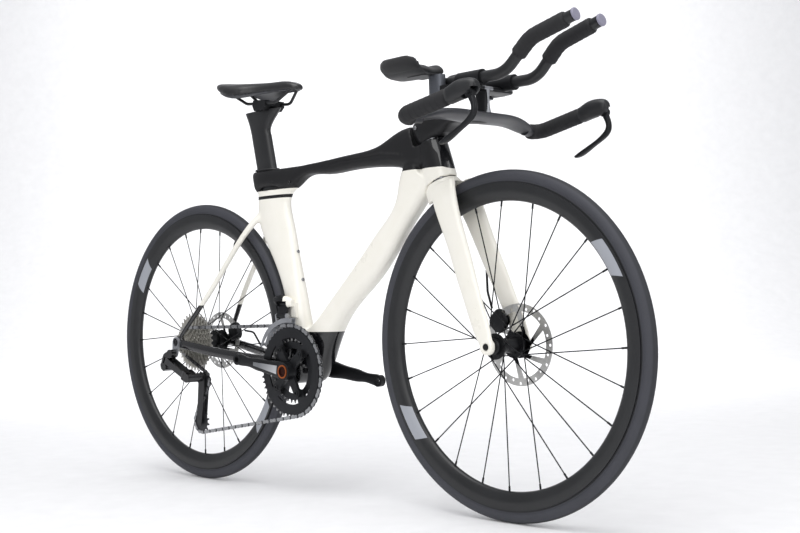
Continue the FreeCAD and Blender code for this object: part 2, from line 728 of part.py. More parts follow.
def make_base_bar(stem):
    shape = ((0, 4, 0, 30, 9.5), (0.25, 4, 0.3, 29.5, 9.4), (0.5, 8, -0.5, 26, 9.2), (0.75, 13, -10, 19, 9), (0.84, 16, -13, 12, 10))
    sections = []
    for share, back, up, chord, thick in reversed(shape):
        sections.append(wing_section(-BAR_HALF * share, back, up, chord, thick))
    for share, back, up, chord, thick in shape[1:]:
        sections.append(wing_section(BAR_HALF * share, back, up, chord, thick))
    horns = [bent_tube(horn_line(side), [HORN_CURVE], GRIP_R) for side in (-1, 1)]
    return fused([loft(sections)] + horns).cut(stem)


def sleeve(line, curve, inner, outer):
    """Tape round a bar that bends once."""
    start, corner, end = line
    longer = [start + (start - corner).normalize() * 2, corner, end + (end - corner).normalize() * 2]
    return bent_tube(line, [curve], outer).cut(bent_tube(longer, [curve], inner))


def make_bar_tape():
    sleeves = []
    for side in (-1, 1):
        line = horn_line(side)
        run = [between(line[0], line[1], 0.38), line[1], between(line[1], line[2], 0.98)]
        sleeves.append(sleeve(run, HORN_CURVE, GRIP_R + FIT, GRIP_R + TAPE_THICK))
        line = extension_line(side)
        run = [between(line[1], line[2], 0.5), line[2], between(line[2], line[3], 0.87)]
        sleeves.append(sleeve(run, EXTENSION_CURVE, EXTENSION_R + FIT, EXTENSION_R + TAPE_THICK))
    return sleeves


def extension_line(side):
    """The middle line of one extension: level, then a steep rise, then the grip at a lower slope."""
    bend = from_bar(EXTENSION_BEND, TOWER_HEIGHT + 9, side * (EXTENSION_SPREAD + 1))
    crest = bend + V(cos(EXTENSION_TILT), 0, sin(EXTENSION_TILT)) * EXTENSION_RUN + Y_AXIS * (-side * 4)
    tip = crest + V(cos(GRIP_TILT), 0, sin(GRIP_TILT)) * GRIP_RUN + Y_AXIS * (-side * 4)
    return [from_bar(-72, TOWER_HEIGHT + 10, side * EXTENSION_SPREAD), bend, crest, tip]


def make_extensions():
    return [bent_tube(extension_line(side), [EXTENSION_CURVE] * 2, EXTENSION_R) for side in (-1, 1)]


def make_shift_button(side):
    """A round button in the mouth of an extension: it slides along the bar."""
    line = extension_line(side)
    way = (line[3] - line[2]).normalize()
    tip = line[3]
    gap = SIDE_GAP + BUTTON_TRAVEL
    dome = rod(tip + way * gap, tip + way * (gap + 5), EXTENSION_R + 1)
    dome = round_edges(dome, 2.5, lambda e: (e.CenterOfMass - tip).dot(way) > gap + 4)
    stalk = rod(tip - way * 12, tip + way * gap, EXTENSION_R * 0.55)
    return fused([dome, stalk])


def bore_extension(bar, side):
    line = extension_line(side)
    way = (line[3] - line[2]).normalize()
    return bar.cut(rod(line[3] - way * 22, line[3] + way, EXTENSION_R * 0.55 + RUNNING))


LEVER_PIVOT_R = 2.5


def lever_pivot(side):
    return from_bar(LEVER_SWING_X, 7, side * (BAR_HALF - 1))


def make_hood(side):
    """The lever body: it plugs onto a horn's end and forks round the lever's head."""
    line = horn_line(side)
    tip = line[2]
    way = (line[2] - line[1]).normalize()
    up = way.cross(Y_AXIS) * -1
    up = up if up.z > 0 else up * -1
    across = up.cross(way)
    pivot = lever_pivot(side)
    reach = (pivot - tip).dot(way)
    wires = []
    for along, rise, high, wide in (
        (0.3, 0, 15.5, 15.5), (reach * 0.35, 2, 17.5, 15), (reach * 0.72, 2, 18, 14.5),
        (reach, 0.5, 16.5, 13), (reach + 11, -0.5, 12, 10.5), (reach + 15, -1, 6.5, 6),
    ):
        wires.append(oval(tip + way * along + up * rise, up, across, high, wide, 2.4))
    body = loft(wires)
    slot_half = 5.5 + SIDE_GAP
    slot = Part.makeBox(40, 2 * slot_half, 60, V(pivot.x - 17, pivot.y - slot_half, pivot.z - 50))
    head_room = barrel(pivot, pivot.y - slot_half, pivot.y + slot_half, 11)
    pin = barrel(pivot, pivot.y - 11, pivot.y + 11, LEVER_PIVOT_R)
    return fused([body.cut(slot).cut(head_room), pin])


def make_lever(side):
    pivot = lever_pivot(side)
    half = 5.5

    def section(ahead, up, turn, deep, wide):
        along = V(cos(turn), 0, sin(turn))
        return oval(pivot + V(ahead, 0, up), along, Y_AXIS, deep, wide, 2.6)

    head_disc = barrel(pivot, pivot.y - half, pivot.y + half, 9)
    blade = loft([
        section(1, -2, radians(-5), 7, half), section(7, -18, radians(-12), 6.5, half), section(8, -33, radians(-40), 6, 6),
        section(-4, -47, radians(-62), 5, 6.5), section(-36, -65, radians(-66), 4.4, 7), section(-66, -79, radians(-72), 4, 7),
        section(-74, -81, radians(-80), 2.5, 4.5),
    ])
    hole = barrel(pivot, pivot.y - 20, pivot.y + 20, LEVER_PIVOT_R + RUNNING)
    return fused([head_disc, blade]).cut(hole)


def make_riser_tower(stem, base_bar, extensions):
    """The tower on the bar, its cross bridge, two extension clamps and the pad columns."""
    level = TOWER_HEIGHT - 2
    tower = loft([
        oval(from_bar(10, 5), V(1, 0, 0), Y_AXIS, 17, 9, 2.6), oval(from_bar(9, 25), V(1, 0, 0), Y_AXIS, 15, 7, 2.6),
        oval(from_bar(8, level), V(1, 0, 0), Y_AXIS, 19, 9, 2.6),
    ])
    pieces = [tower]
    half_span = EXTENSION_SPREAD + 30
    bridge_low, bridge_high = level - 7, level + 4
    bridge = loft([oval(from_bar(2, (bridge_low + bridge_high) / 2, y), V(1, 0, 0), V(0, 0, 1), deep, 5.5, 3)
                   for y, deep in ((-half_span, 20), (-EXTENSION_SPREAD, 26), (0, 24), (EXTENSION_SPREAD, 26), (half_span, 20))])
    pieces.append(bridge)
    outer = EXTENSION_R + CLAMP_WALL
    for side in (-1, 1):
        line = extension_line(side)
        pieces.append(rod(between(line[0], line[1], 0.36), between(line[0], line[1], 0.7), outer))
        out = side * (EXTENSION_SPREAD + 24)
        pieces.append(loft([oval(from_bar(-46, up, out), V(1, 0, 0), Y_AXIS, 18, 9.5, 3.2)
                            for up in (bridge_low - 3, PAD_BASE - 0.1)]))
        pieces.append(Part.makeBox(46, 16, 10, from_bar(-46, bridge_low, out) - Y_AXIS * 8))
    return fused(pieces).cut(stem).cut(base_bar).cut(Part.makeCompound(extensions))


REST_CURVE = ((-46, 4), (-24, 0), (6, 0), (30, 4), (46, 18))
REST_THICK = 3.0


def on_rest(ahead, out, up, side):
    return from_bar(-PAD_BACK + ahead, PAD_BASE + up, side * (PAD_OUT + out))


def open_curve(points):
    curve = Part.BSplineCurve()
    curve.interpolate(Points=points)
    return curve.toShape()


def make_arm_rest(side):
    """A dished plate under the arm pad, with its outer edge turned up, on a flat foot."""
    wires = []
    for ahead, size in ((-50, 0.86), (-25, 1.0), (5, 1.0), (34, 0.9), (46, 0.72)):
        low = [on_rest(ahead, out * size, up, side) for out, up in REST_CURVE]
        high = [point + V(0, 0, REST_THICK) for point in low]
        ends = [Part.LineSegment(low[k], high[k]).toShape() for k in (0, -1)]
        wires.append(Part.Wire([open_curve(low), ends[1], open_curve(high), ends[0]]))
    low = on_rest(0, 0, -1.2, side)
    foot = Part.makeBox(46, 42, 3, V(low.x - 10, low.y - 21 - side * 14, low.z))
    return fused([loft(wires), foot])


def make_arm_pad(side):
    """A soft cradle for the forearm that fits on the arm rest's dished face."""
    wires = []
    for ahead, size, thick in ((-56, 0.8, 8), (-46, 0.93, 16), (-22, 1.04, 19), (8, 1.04, 19), (36, 0.95, 16), (47, 0.82, 8)):
        low = [(out * 1.08 * size, up + REST_THICK / 2) for out, up in REST_CURVE]
        high = [(out * 0.95, up + thick * (0.85 if abs(out) > 36 else 1.0)) for out, up in reversed(low)]
        wires.append(smooth_loop([on_rest(ahead, out, up, side) for out, up in low + high]))
    return loft(wires)


def make_cockpit():
    stem = make_stem()
    base_bar = make_base_bar(stem)
    extensions = make_extensions()
    save("stem", stem)
    save("base_bar", base_bar)
    save("bar_tape", *make_bar_tape())
    save("brake_hoods", make_hood(-1), make_hood(1))
    save("extension_bars", *[bore_extension(bar, side) for bar, side in zip(extensions, (-1, 1))])
    rests = [make_arm_rest(side) for side in (-1, 1)]
    save("arm_rests", *rests)
    save("riser_tower", make_riser_tower(stem, base_bar, extensions).cut(Part.makeCompound(rests)))
    save("arm_pads", *[make_arm_pad(side).cut(rest) for side, rest in zip((-1, 1), rests)])
    for side, name in ((-1, "right"), (1, "left")):
        save("brake_lever_" + name, make_lever(side))
        save("shift_button_" + name, make_shift_button(side))


# Seat
POST_NECK = 556.0         # heights over the bottom bracket
POST_TOP = 600.0
CLAMP_AHEAD = 44.0
CLAMP_HEIGHT = 613.5      # middle of the rails at the clamp
SADDLE_TILT = radians(5.0)
RAIL_STRAIGHT = 88.0
COVER_THICK = 11.0
SHELL_THICK = 3.5
COLLAR_HEIGHT = 3.5
RAIL_WAY = V(cos(SADDLE_TILT), 0, -sin(SADDLE_TILT))
RAIL_UP = V(sin(SADDLE_TILT), 0, cos(SADDLE_TILT))
SADDLE_STATIONS = (
    # along the rails, half width, low edge, top
    (-152, 30, 40, 49), (-140, 48, 34, 51), (-112, 64, 23, 50), (-84, 68, 13, 48), (-50, 62, 7, 47), (-10, 42, 16, 47),
    (30, 28, 24, 48), (70, 23, 27, 49), (98, 19, 28, 46), (114, 9, 30, 40),
)


def on_saddle(along, up, side=0.0):
    return seat(CLAMP_HEIGHT, CLAMP_AHEAD) + RAIL_WAY * along + RAIL_UP * up + Y_AXIS * side


def make_seat_post():
    low = CLUSTER_TOP - POST_INSERT
    straight = loft([post_section(low), post_section(POST_NECK - 14)])
    neck = loft([
        post_section(POST_NECK - 14), post_section(POST_NECK + 4, 0, POST_CHORD + 4, POST_WIDTH, 1),
        post_section(POST_NECK + 24, 0, POST_CHORD + 30, POST_WIDTH + 1, 10),
        post_section(POST_TOP, 0, POST_CHORD + 62, POST_WIDTH + 2, 20),
    ])
    return fused([straight, neck])


def make_collar():
    outer = loft([post_section(CLUSTER_TOP, 6), post_section(CLUSTER_TOP + COLLAR_HEIGHT, 4.5)])
    return outer.cut(post_socket())


def saddle_loop(along, half, low, top, dip):
    high = top - low
    right = [
        (0, top - dip), (0.3, top), (0.7, top - 0.1 * high), (0.98, top - 0.42 * high),
        (0.97, low + 0.16 * high), (0.84, low), (0.4, low - 0.5), (0, low - 0.5),
    ]
    loop = [on_saddle(along, up, -share * half) for share, up in right]
    loop += [on_saddle(along, up, share * half) for share, up in right[-2:0:-1]]
    return smooth_loop(loop)


def saddle_form(inset, lower):
    """The saddle's outline drawn in by an inset, for its cover, its base and the hollow below."""
    wires = []
    for along, half, low, top in SADDLE_STATIONS:
        width = max(half - inset * 0.5, half * 0.3)
        dip = 4.5 if -130 < along < 60 and inset == 0 else 1.0
        wires.append(saddle_loop(along * (1 - inset * 0.006), width, low - lower, top - inset, dip))
    return loft(wires)


def make_rails():
    rails = []
    for side in (-1, 1):
        points = [
            on_saddle(-112, 30, side * 33), on_saddle(-RAIL_STRAIGHT / 2 - 8, 0, side * RAIL_SPREAD),
            on_saddle(RAIL_STRAIGHT / 2 + 8, 0, side * RAIL_SPREAD), on_saddle(98, 36, side * 7),
        ]
        rails.append(bent_tube(points, [24, 30], RAIL_R))
    return rails


def make_saddle_clamp(post):
    """The cradle on the post's head, with bores that hold the rails, and its cross bolt."""
    half = 21.0
    base = plate([on_saddle(a, u, -RAIL_SPREAD - 7) for a, u in (
        (-half, 7), (half, 7), (half + 2, -6), (half - 8, -16), (-half + 4, -18), (-half - 3, -6))], V(0, 2 * RAIL_SPREAD + 14, 0))
    waist = Part.makeBox(120, 2 * (RAIL_SPREAD - 8), 40, V(on_saddle(0, 0).x - 60, -RAIL_SPREAD + 8, on_saddle(0, 1).z))
    block = base.cut(waist).cut(post)
    for side in (-1, 1):
        bore = rod(on_saddle(-90, 0, side * RAIL_SPREAD), on_saddle(90, 0, side * RAIL_SPREAD), RAIL_R + RUNNING)
        block = block.cut(bore)
    return max(block.Solids, key=lambda s: s.Volume)


def make_seat():
    post = make_seat_post()
    outer = saddle_form(0, 0)
    inner = saddle_form(COVER_THICK, 7)
    core = saddle_form(COVER_THICK + SHELL_THICK, 16)
    shell = inner.cut(core).common(saddle_form(0.5, 0))
    shell = max(shell.Solids, key=lambda s: s.Volume)
    cover = max(outer.cut(inner).Solids, key=lambda s: s.Volume)
    rails = []
    for rail in make_rails():
        rails.append(max(rail.cut(shell).cut(cover).Solids, key=lambda s: s.Volume))
    save("seat_post", post)
    save("seat_post_clamp", make_collar())
    save("saddle_clamp", make_saddle_clamp(post))
    save("saddle_rails", *rails)
    save("saddle_shell", shell)
    save("saddle_cover", cover)


# Drive
def pitch_radius(teeth):
    return PITCH / (2 * sin(pi / teeth))


OUTER_Y = -CHAIN_LINE
INNER_Y = -CHAIN_LINE + RING_STEP
DERAILLEUR_ARM = 77.0
LINK_SLOPE = radians(25)
LINK_WAY = V(cos(LINK_SLOPE), 0, -sin(LINK_SLOPE))
LINK_UP = V(sin(LINK_SLOPE), 0, cos(LINK_SLOPE))
LINK_TOP = REAR + V(-24, -85, -44)
LINK_SPREAD = 9.0         # each link from the middle of the parallelogram
CAGE_PIVOT = LINK_TOP + LINK_WAY * (DERAILLEUR_ARM + 17.5)
GUIDE = V(CAGE_PIVOT.x + 1, OUTER_Y, CAGE_PIVOT.z - 8.5)


def chain_wheels(cage_angle):
    """The chain's four wheels in order: middle, teeth, and 1 where it turns with the drive."""
    tension = GUIDE + V(sin(cage_angle), 0, -cos(cage_angle)) * PULLEY_SPACING
    return [
        (BB, OUTER_TEETH, 1), (REAR, COGS[RUNNING_COG], 1), (GUIDE, GUIDE_TEETH, -1), (tension, TENSION_TEETH, 1),
    ]


def chain_runs(cage_angle):
    """The straight runs between the wheels: (heading, length) from each wheel to the next."""
    wheels = chain_wheels(cage_angle)
    runs = []
    for k, (middle, teeth, sense) in enumerate(wheels):
        onward, next_teeth, next_sense = wheels[(k + 1) % 4]
        dx, dz = onward.x - middle.x, onward.z - middle.z
        offset = next_sense * pitch_radius(next_teeth) - sense * pitch_radius(teeth)
        span = hypot(dx, dz)
        runs.append((atan2(dz, dx) - asin(offset / span), sqrt(span**2 - offset**2)))
    return runs


def chain_path(cage_angle):
    """The chain's stretches in links: (links, arc or run, the values that place it)."""
    wheels = chain_wheels(cage_angle)
    runs = chain_runs(cage_angle)
    path = []
    for k, (middle, teeth, sense) in enumerate(wheels):
        heading_in, heading_out = runs[k - 1][0], runs[k][0]
        wrap = (sense * (heading_out - heading_in)) % (2 * pi)
        start = heading_in - sense * pi / 2
        path.append((wrap * teeth / (2 * pi), "arc", middle, teeth, sense, start))
        leave = heading_out - sense * pi / 2
        r = pitch_radius(teeth)
        edge = V(middle.x + r * cos(leave), OUTER_Y, middle.z + r * sin(leave))
        path.append((runs[k][1] / PITCH, "run", edge, runs[k][0], 0, 0))
    return path


def chain_links(cage_angle):
    return sum(stretch[0] for stretch in chain_path(cage_angle))


def solve_cage():
    """The cage angle at which the chain has a whole even number of links."""
    low, high = radians(-40), radians(35)
    wanted = 2 * round(chain_links(radians(-6)) / 2)
    for _ in range(60):
        middle = (low + high) / 2
        if (chain_links(middle) > wanted) == (chain_links(high) > wanted):
            high = middle
        else:
            low = middle
    return (low + high) / 2, wanted


def chain_pin(path, place):
    for length, kind, spot, value, sense, start in path:
        if place <= length:
            break
        place -= length
    if kind == "run":
        return spot + V(cos(value), 0, sin(value)) * (place * PITCH)
    angle = start + sense * place * 2 * pi / value
    r = pitch_radius(value)
    return V(spot.x + r * cos(angle), OUTER_Y, spot.z + r * sin(angle))


CAGE_ANGLE, LINK_COUNT = solve_cage()
CHAIN_PATH = chain_path(CAGE_ANGLE)
TENSION = chain_wheels(CAGE_ANGLE)[3][0]
TENSION = V(TENSION.x, OUTER_Y, TENSION.z)
PINS = [chain_pin(CHAIN_PATH, k) for k in range(LINK_COUNT)]


def pin_phase(middle, teeth):
    """The angle of the chain pin that sits deepest on a wheel."""
    r = pitch_radius(teeth)
    seated = min(PINS, key=lambda pin: abs(hypot(pin.x - middle.x, pin.z - middle.z) - r))
    return atan2(seated.z - middle.z, seated.x - middle.x)


GAP_SHAPE = ((-5.2, 3.0), (-4.05, 0.0), (-2.9, -4.0), (2.9, -4.0), (4.05, 0.0), (5.2, 3.0))


def sprocket(middle, teeth, y, thick, phase, bore):
    r = pitch_radius(teeth)
    points = []
    for k in range(teeth):
        for across, out in GAP_SHAPE:
            a = phase + 2 * pi * k / teeth + across / min(r, r + out)
            points.append(V(middle.x + (r + out) * cos(a), y - thick / 2, middle.z + (r + out) * sin(a)))
    disc = plate(points, V(0, thick, 0))
    return disc.cut(barrel(middle, y - thick, y + thick, bore))


PLATE_R = 4.1
PIN_R = 1.8


def link_plate(y_low, y_high, radius):
    """One side plate, from the pin at the origin to the pin one pitch along X."""
    ends = [
        Part.Arc(V(0, y_low, radius), V(-radius, y_low, 0), V(0, y_low, -radius)).toShape(),
        Part.LineSegment(V(0, y_low, -radius), V(PITCH / 2, y_low, -radius * 0.72)).toShape(),
        Part.LineSegment(V(PITCH / 2, y_low, -radius * 0.72), V(PITCH, y_low, -radius)).toShape(),
        Part.Arc(V(PITCH, y_low, -radius), V(PITCH + radius, y_low, 0), V(PITCH, y_low, radius)).toShape(),
        Part.LineSegment(V(PITCH, y_low, radius), V(PITCH / 2, y_low, radius * 0.72)).toShape(),
        Part.LineSegment(V(PITCH / 2, y_low, radius * 0.72), V(0, y_low, radius)).toShape(),
    ]
    return Part.Face(Part.Wire(ends)).extrude(V(0, y_high - y_low, 0))


def make_chain():
    inner, step, wide = TOOTH_THICK / 2 + 0.2, 0.7, 2.55
    pins = [barrel(V(x, 0, 0), -wide, wide, PIN_R) for x in (0, PITCH)]
    outer_link = fused([link_plate(-wide, -wide + step, PLATE_R), link_plate(wide - step, wide, PLATE_R)] + pins)
    rollers = [barrel(V(x, 0, 0), -inner - step, inner + step, ROLLER_R) for x in (0, PITCH)]
    inner_link = fused([link_plate(-inner - step, -inner, PLATE_R), link_plate(inner, inner + step, PLATE_R)] + rollers)
    for x in (0, PITCH):
        inner_link = inner_link.cut(barrel(V(x, 0, 0), -3, 3, PIN_R + 0.2))
    links = []
    for k, pin in enumerate(PINS):
        way = PINS[(k + 1) % LINK_COUNT] - pin
        turn = FreeCAD.Rotation(Y_AXIS, -degrees(atan2(way.z, way.x)))
        link = (outer_link if k % 2 else inner_link).copy()
        link.Placement = FreeCAD.Placement(pin, turn)
        links.append(link)
    return links


def make_cassette():
    bore = FREEHUB_R + FIT
    cogs = []
    for k, teeth in enumerate(COGS):
        y = OUTER_Y + (RUNNING_COG - k) * -COG_PITCH
        phase = pin_phase(REAR, teeth) if k == RUNNING_COG else 0.13 * k
        cogs.append(sprocket(REAR, teeth, y, COG_THICK, phase, bore))
    first = OUTER_Y - RUNNING_COG * COG_PITCH
    last = OUTER_Y + (len(COGS) - 1 - RUNNING_COG) * COG_PITCH
    for k in range(len(COGS) - 1):
        y = first + k * COG_PITCH
        low, high = y + COG_THICK / 2, y + COG_PITCH - COG_THICK / 2
        cogs.append(ring(REAR, low, high, FREEHUB_R + 3.2, bore))
    lock = ring(REAR, first - COG_THICK / 2 - 2.5, first - COG_THICK / 2, FREEHUB_R + 1.5, AXLE_R + 4.6)
    return cogs + [lock]


FREEHUB_R = 16.8


def make_freehub():
    end = -(REAR_HUB_WIDTH / 2 - SIDE_GAP)
    stop = OUTER_Y - RUNNING_COG * COG_PITCH - COG_THICK / 2
    bore = AXLE_R + RUNNING
    profile = [
        (bore, FREEHUB_JOIN), (FREEHUB_R, FREEHUB_JOIN), (FREEHUB_R, stop), (AXLE_R + 4.4, stop),
        (AXLE_R + 4.4, end), (bore, end),
    ]
    return turned(profile, REAR)


# Cranks
CRANK_WAY = V(-cos(CRANK_TILT), 0, sin(CRANK_TILT))
SPIDER_ANGLES = [radians(a) for a in (50, 128, 232, 310)]
RING_BOLT_R = 55.0
PEDAL_HOLE_R = 7.1
PEDAL_HOLE_DEPTH = 13.0
BOSS_Y = 63.0
BOSS_FACE = BOSS_Y + 9.3


def make_crank_arm(side, way):
    across = way.cross(Y_AXIS)
    pedal_y = PEDAL_FACE - PEDAL_HOLE_DEPTH / 2

    def section(along, y, high, thick):
        return oval(BB + way * along + Y_AXIS * (side * y), across, Y_AXIS, high, thick, 2.8)

    reach = CRANK_LENGTH
    blade = loft([
        section(-16, BOSS_Y, 12, 7), section(0, BOSS_Y, 19, 8.7), section(reach * 0.25, BOSS_Y + 0.6, 17, 7.8),
        section(reach * 0.6, pedal_y - 1.2, 14, 6.8), section(reach - 12, pedal_y, 13, 6.2),
        section(reach, pedal_y, 12.5, 6), section(reach + 12, pedal_y, 6, 4),
    ])
    boss = barrel(BB, side * (BB_WIDTH / 2 + 5), side * BOSS_FACE, 20)
    eye = barrel(BB + way * reach, side * (PEDAL_FACE - PEDAL_HOLE_DEPTH), side * PEDAL_FACE, 13)
    arm = fused([blade, boss, eye])
    arm = arm.cut(barrel(BB, -100, 100, SPINDLE_R + FIT))
    return arm.cut(barrel(BB + way * reach, -100, 100, PEDAL_HOLE_R))


def ring_bolt_spots():
    heading = atan2(CRANK_WAY.z, CRANK_WAY.x)
    return [BB + V(cos(heading + a), 0, sin(heading + a)) * RING_BOLT_R for a in SPIDER_ANGLES]


def make_spider():
    arms = []
    back, front = OUTER_Y - 2.2, OUTER_Y - 9.5
    for spot in ring_bolt_spots():
        out = (spot - BB).normalize()
        across = out.cross(Y_AXIS) * 1.0
        root, tip = BB + out * 14, spot + out * 2
        outline = [root + across * 11, tip + across * 8.5, tip - across * 8.5, root - across * 11]
        low = min(back, front)
        arms.append(plate([V(q.x, low, q.z) for q in outline], V(0, abs(front - back), 0)))
        arms.append(barrel(spot, back, front, 9.5))
    return arms


def make_outer_ring():
    teeth = sprocket(BB, OUTER_TEETH, OUTER_Y, TOOTH_THICK, pin_phase(BB, OUTER_TEETH), 74)
    band = ring(BB, OUTER_Y - 2.2, OUTER_Y + 1.6, pitch_radius(OUTER_TEETH) - 6, 74)
    pieces = [teeth, band]
    for spot in ring_bolt_spots():
        out = (spot - BB).normalize()
        across = out.cross(Y_AXIS)
        outline = [spot + across * 9.5, spot + out * 26 + across * 15, spot + out * 26 - across * 15, spot - across * 9.5]
        pieces.append(plate([V(q.x, OUTER_Y - 2.2, q.z) for q in outline], V(0, 3.8, 0)))
        pieces.append(barrel(spot, OUTER_Y - 2.2, OUTER_Y + 1.6, 9.5))
    return fused(pieces)


def make_inner_ring():
    teeth = sprocket(BB, INNER_TEETH, INNER_Y, TOOTH_THICK, 0.05, 50)
    pieces = [teeth]
    for spot in ring_bolt_spots():
        pieces.append(barrel(spot, OUTER_Y + 1.6, INNER_Y + TOOTH_THICK / 2, 8))
    return fused(pieces)


def make_cranks():
    right = make_crank_arm(-1, CRANK_WAY)
    hole = barrel(BB, -100, 100, SPINDLE_R + FIT)
    right = fused([right] + [arm.cut(hole) for arm in make_spider()])
    save("crank_arm_right", right)
    save("crank_arm_left", make_crank_arm(1, CRANK_WAY * -1))
    save("outer_chainring", make_outer_ring())
    save("inner_chainring", make_inner_ring())
    face = BOSS_FACE
    spindle = barrel(BB, -face, face, SPINDLE_R)
    collar = ring(BB, -face - 1.6, -face, SPINDLE_R + 3, SPINDLE_R - 3)
    cap = ring(BB, face, face + 1.6, SPINDLE_R + 1.5, SPINDLE_R - 4)
    save("crank_spindle", spindle, collar, cap)


# Rear derailleur
LINK_HALF = 8.0
LINK_END_R = 5.0
LINK_PIN_R = 2.0
LUG_THICK = 3.0
HANGER_BOLT = REAR + V(-6, 0, -27)
CAGE_PIN_R = 5.0
CAGE_PLATE = 2.0
CAGE_HALF = 6.0           # from the chain line to the inside of a cage plate


def hanger_face():
    return -(STAY_END_Y + DROPOUT_THICK)


def make_hanger():
    face = hanger_face()
    back = face - 5
    pieces = [barrel(REAR, back, face, 13), barrel(HANGER_BOLT, back, face, 9.5)]
    outline = [REAR + V(-13, 0, 0), REAR + V(12.5, 0, -3), HANGER_BOLT + V(9, 0, -3), HANGER_BOLT + V(-9, 0, -2)]
    pieces.append(plate([V(q.x, back, q.z) for q in outline], V(0, 5, 0)))
    hanger = fused(pieces)
    return hanger.cut(barrel(REAR, -200, 0, AXLE_R + 3.5)).cut(barrel(HANGER_BOLT, -200, 0, 5))


def link_point(end, along, side, up):
    """A point by one end of the parallelogram: along the links, sideways, and along the pivots."""
    base = LINK_TOP + LINK_WAY * (DERAILLEUR_ARM if end else 0)
    return base + LINK_WAY * along + Y_AXIS * side + LINK_UP * up


def link_fork(end):
    """The lugs and pins of a knuckle, with the web behind them."""
    away = 1 if end else -1
    reach = LINK_HALF + SIDE_GAP
    pieces = []
    for side in (-LINK_SPREAD, LINK_SPREAD):
        for up in (-reach - LUG_THICK, reach):
            pieces.append(rod(link_point(end, 0, side, up), link_point(end, 0, side, up + LUG_THICK), LINK_END_R))
            outline = [link_point(end, a, side + s, up) for a, s in (
                (0, -LINK_END_R), (away * 10, -LINK_END_R), (away * 10, LINK_END_R), (0, LINK_END_R))]
            pieces.append(plate(outline, LINK_UP * LUG_THICK))
        top = reach + LUG_THICK
        pieces.append(rod(link_point(end, 0, side, -top), link_point(end, 0, side, top), LINK_PIN_R))
    top = reach + LUG_THICK
    wide = LINK_SPREAD + LINK_END_R
    outline = [link_point(end, a, s, -top) for a, s in (
        (away * 6.5, -wide), (away * 13, -wide), (away * 13, wide), (away * 6.5, wide))]
    pieces.append(plate(outline, LINK_UP * (2 * top)))
    return pieces


def make_mount_knuckle():
    """The knuckle on the hanger bolt: its hub, a bridge to the links' lugs, and the motor pod."""
    face = hanger_face() - 5 - FIT
    outer = LINK_TOP.y - 14
    hub = barrel(HANGER_BOLT, face, outer, 10.5)
    bolt = barrel(HANGER_BOLT, face + 5, face, 5 - FIT)
    top = LINK_HALF + SIDE_GAP + LUG_THICK
    rise = (HANGER_BOLT - LINK_TOP).dot(LINK_UP)
    ahead = (HANGER_BOLT - LINK_TOP).dot(LINK_WAY)

    def slab(outline, low, high):
        return plate([link_point(0, a, low - LINK_TOP.y, u) for a, u in outline], V(0, high - low, 0))

    bridge = slab([(-13, 0), (-6.5, 0), (-6.5, top), (ahead, top), (ahead + 8, rise - 6), (ahead - 4, rise + 8), (-10, top + 4)],
                  outer, face)
    pod = slab([(-13, 1 - top), (8, 1 - top), (10, -top - 8), (4, -top - 15), (-8, -top - 14), (-15, -top - 6)], outer, LINK_TOP.y + 12)
    pod = round_edges(pod, 3, lambda e: abs(e.tangentAt(e.FirstParameter).dot(Y_AXIS)) > 0.9)
    return fused([hub, bolt, bridge, pod] + link_fork(0))


def make_link(side, thick):
    """A side link of the parallelogram, with an eye at each end."""
    low = -LINK_HALF
    pieces = []
    for end in (0, 1):
        pieces.append(rod(link_point(end, 0, side, low), link_point(end, 0, side, -low), LINK_END_R))
    outline = [link_point(0, a, side + s, low) for a, s in (
        (0, -thick), (DERAILLEUR_ARM * 0.5, -thick * 1.2), (DERAILLEUR_ARM, -thick), (DERAILLEUR_ARM, thick),
        (DERAILLEUR_ARM * 0.5, thick * 0.8), (0, thick))]
    pieces.append(plate(outline, LINK_UP * (2 * LINK_HALF)))
    link = fused(pieces)
    for end in (0, 1):
        link = link.cut(rod(link_point(end, 0, side, low - 1), link_point(end, 0, side, 1 - low), LINK_PIN_R + RUNNING))
    return link


def cage_outer_y():
    return OUTER_Y - CAGE_HALF - CAGE_PLATE


def make_cage_knuckle():
    inner = cage_outer_y() - SIDE_GAP
    outer = LINK_TOP.y - 14
    hub = barrel(CAGE_PIVOT, inner, outer, 10.5)
    web = loft([
        oval(link_point(1, 8, 0, 0), LINK_UP, Y_AXIS, 11, 13, 3), oval(link_point(1, 14, 3, 0), LINK_UP, Y_AXIS, 10.5, 14, 3),
    ])
    bore = barrel(CAGE_PIVOT, inner + 5, outer + 6, CAGE_PIN_R + RUNNING)
    return fused([hub, web] + link_fork(1)).cut(bore)


def cage_plate(low, high, spots, radii):
    """A flat cage side: discs joined by their common outer tangents."""
    pieces = [barrel(spot, low, high, r) for spot, r in zip(spots, radii)]
    for a, b, ra, rb in zip(spots, spots[1:], radii, radii[1:]):
        way = V(b.x - a.x, 0, b.z - a.z)
        lean = asin((ra - rb) / way.Length)
        heading = atan2(way.z, way.x)
        outline = []
        for spot, r, turn in ((a, ra, 1), (a, ra, -1), (b, rb, -1), (b, rb, 1)):
            t = heading + turn * (pi / 2 - lean)
            outline.append(V(spot.x + r * cos(t), low, spot.z + r * sin(t)))
        pieces.append(plate(outline, V(0, high - low, 0)))
    return fused(pieces)


def make_cage():
    out_face = cage_outer_y()
    in_face = OUTER_Y + CAGE_HALF + CAGE_PLATE
    outer = cage_plate(out_face, out_face + CAGE_PLATE, [CAGE_PIVOT, GUIDE, TENSION], [12, 12, 9])
    inner = cage_plate(in_face - CAGE_PLATE, in_face, [GUIDE, TENSION], [11, 9])
    pin = barrel(CAGE_PIVOT, out_face, LINK_TOP.y - 7, CAGE_PIN_R)
    bolts = [barrel(spot, out_face - 0.0, in_face + 1, PULLEY_AXLE_R) for spot in (GUIDE, TENSION)]
    return fused([outer, inner, pin] + bolts)


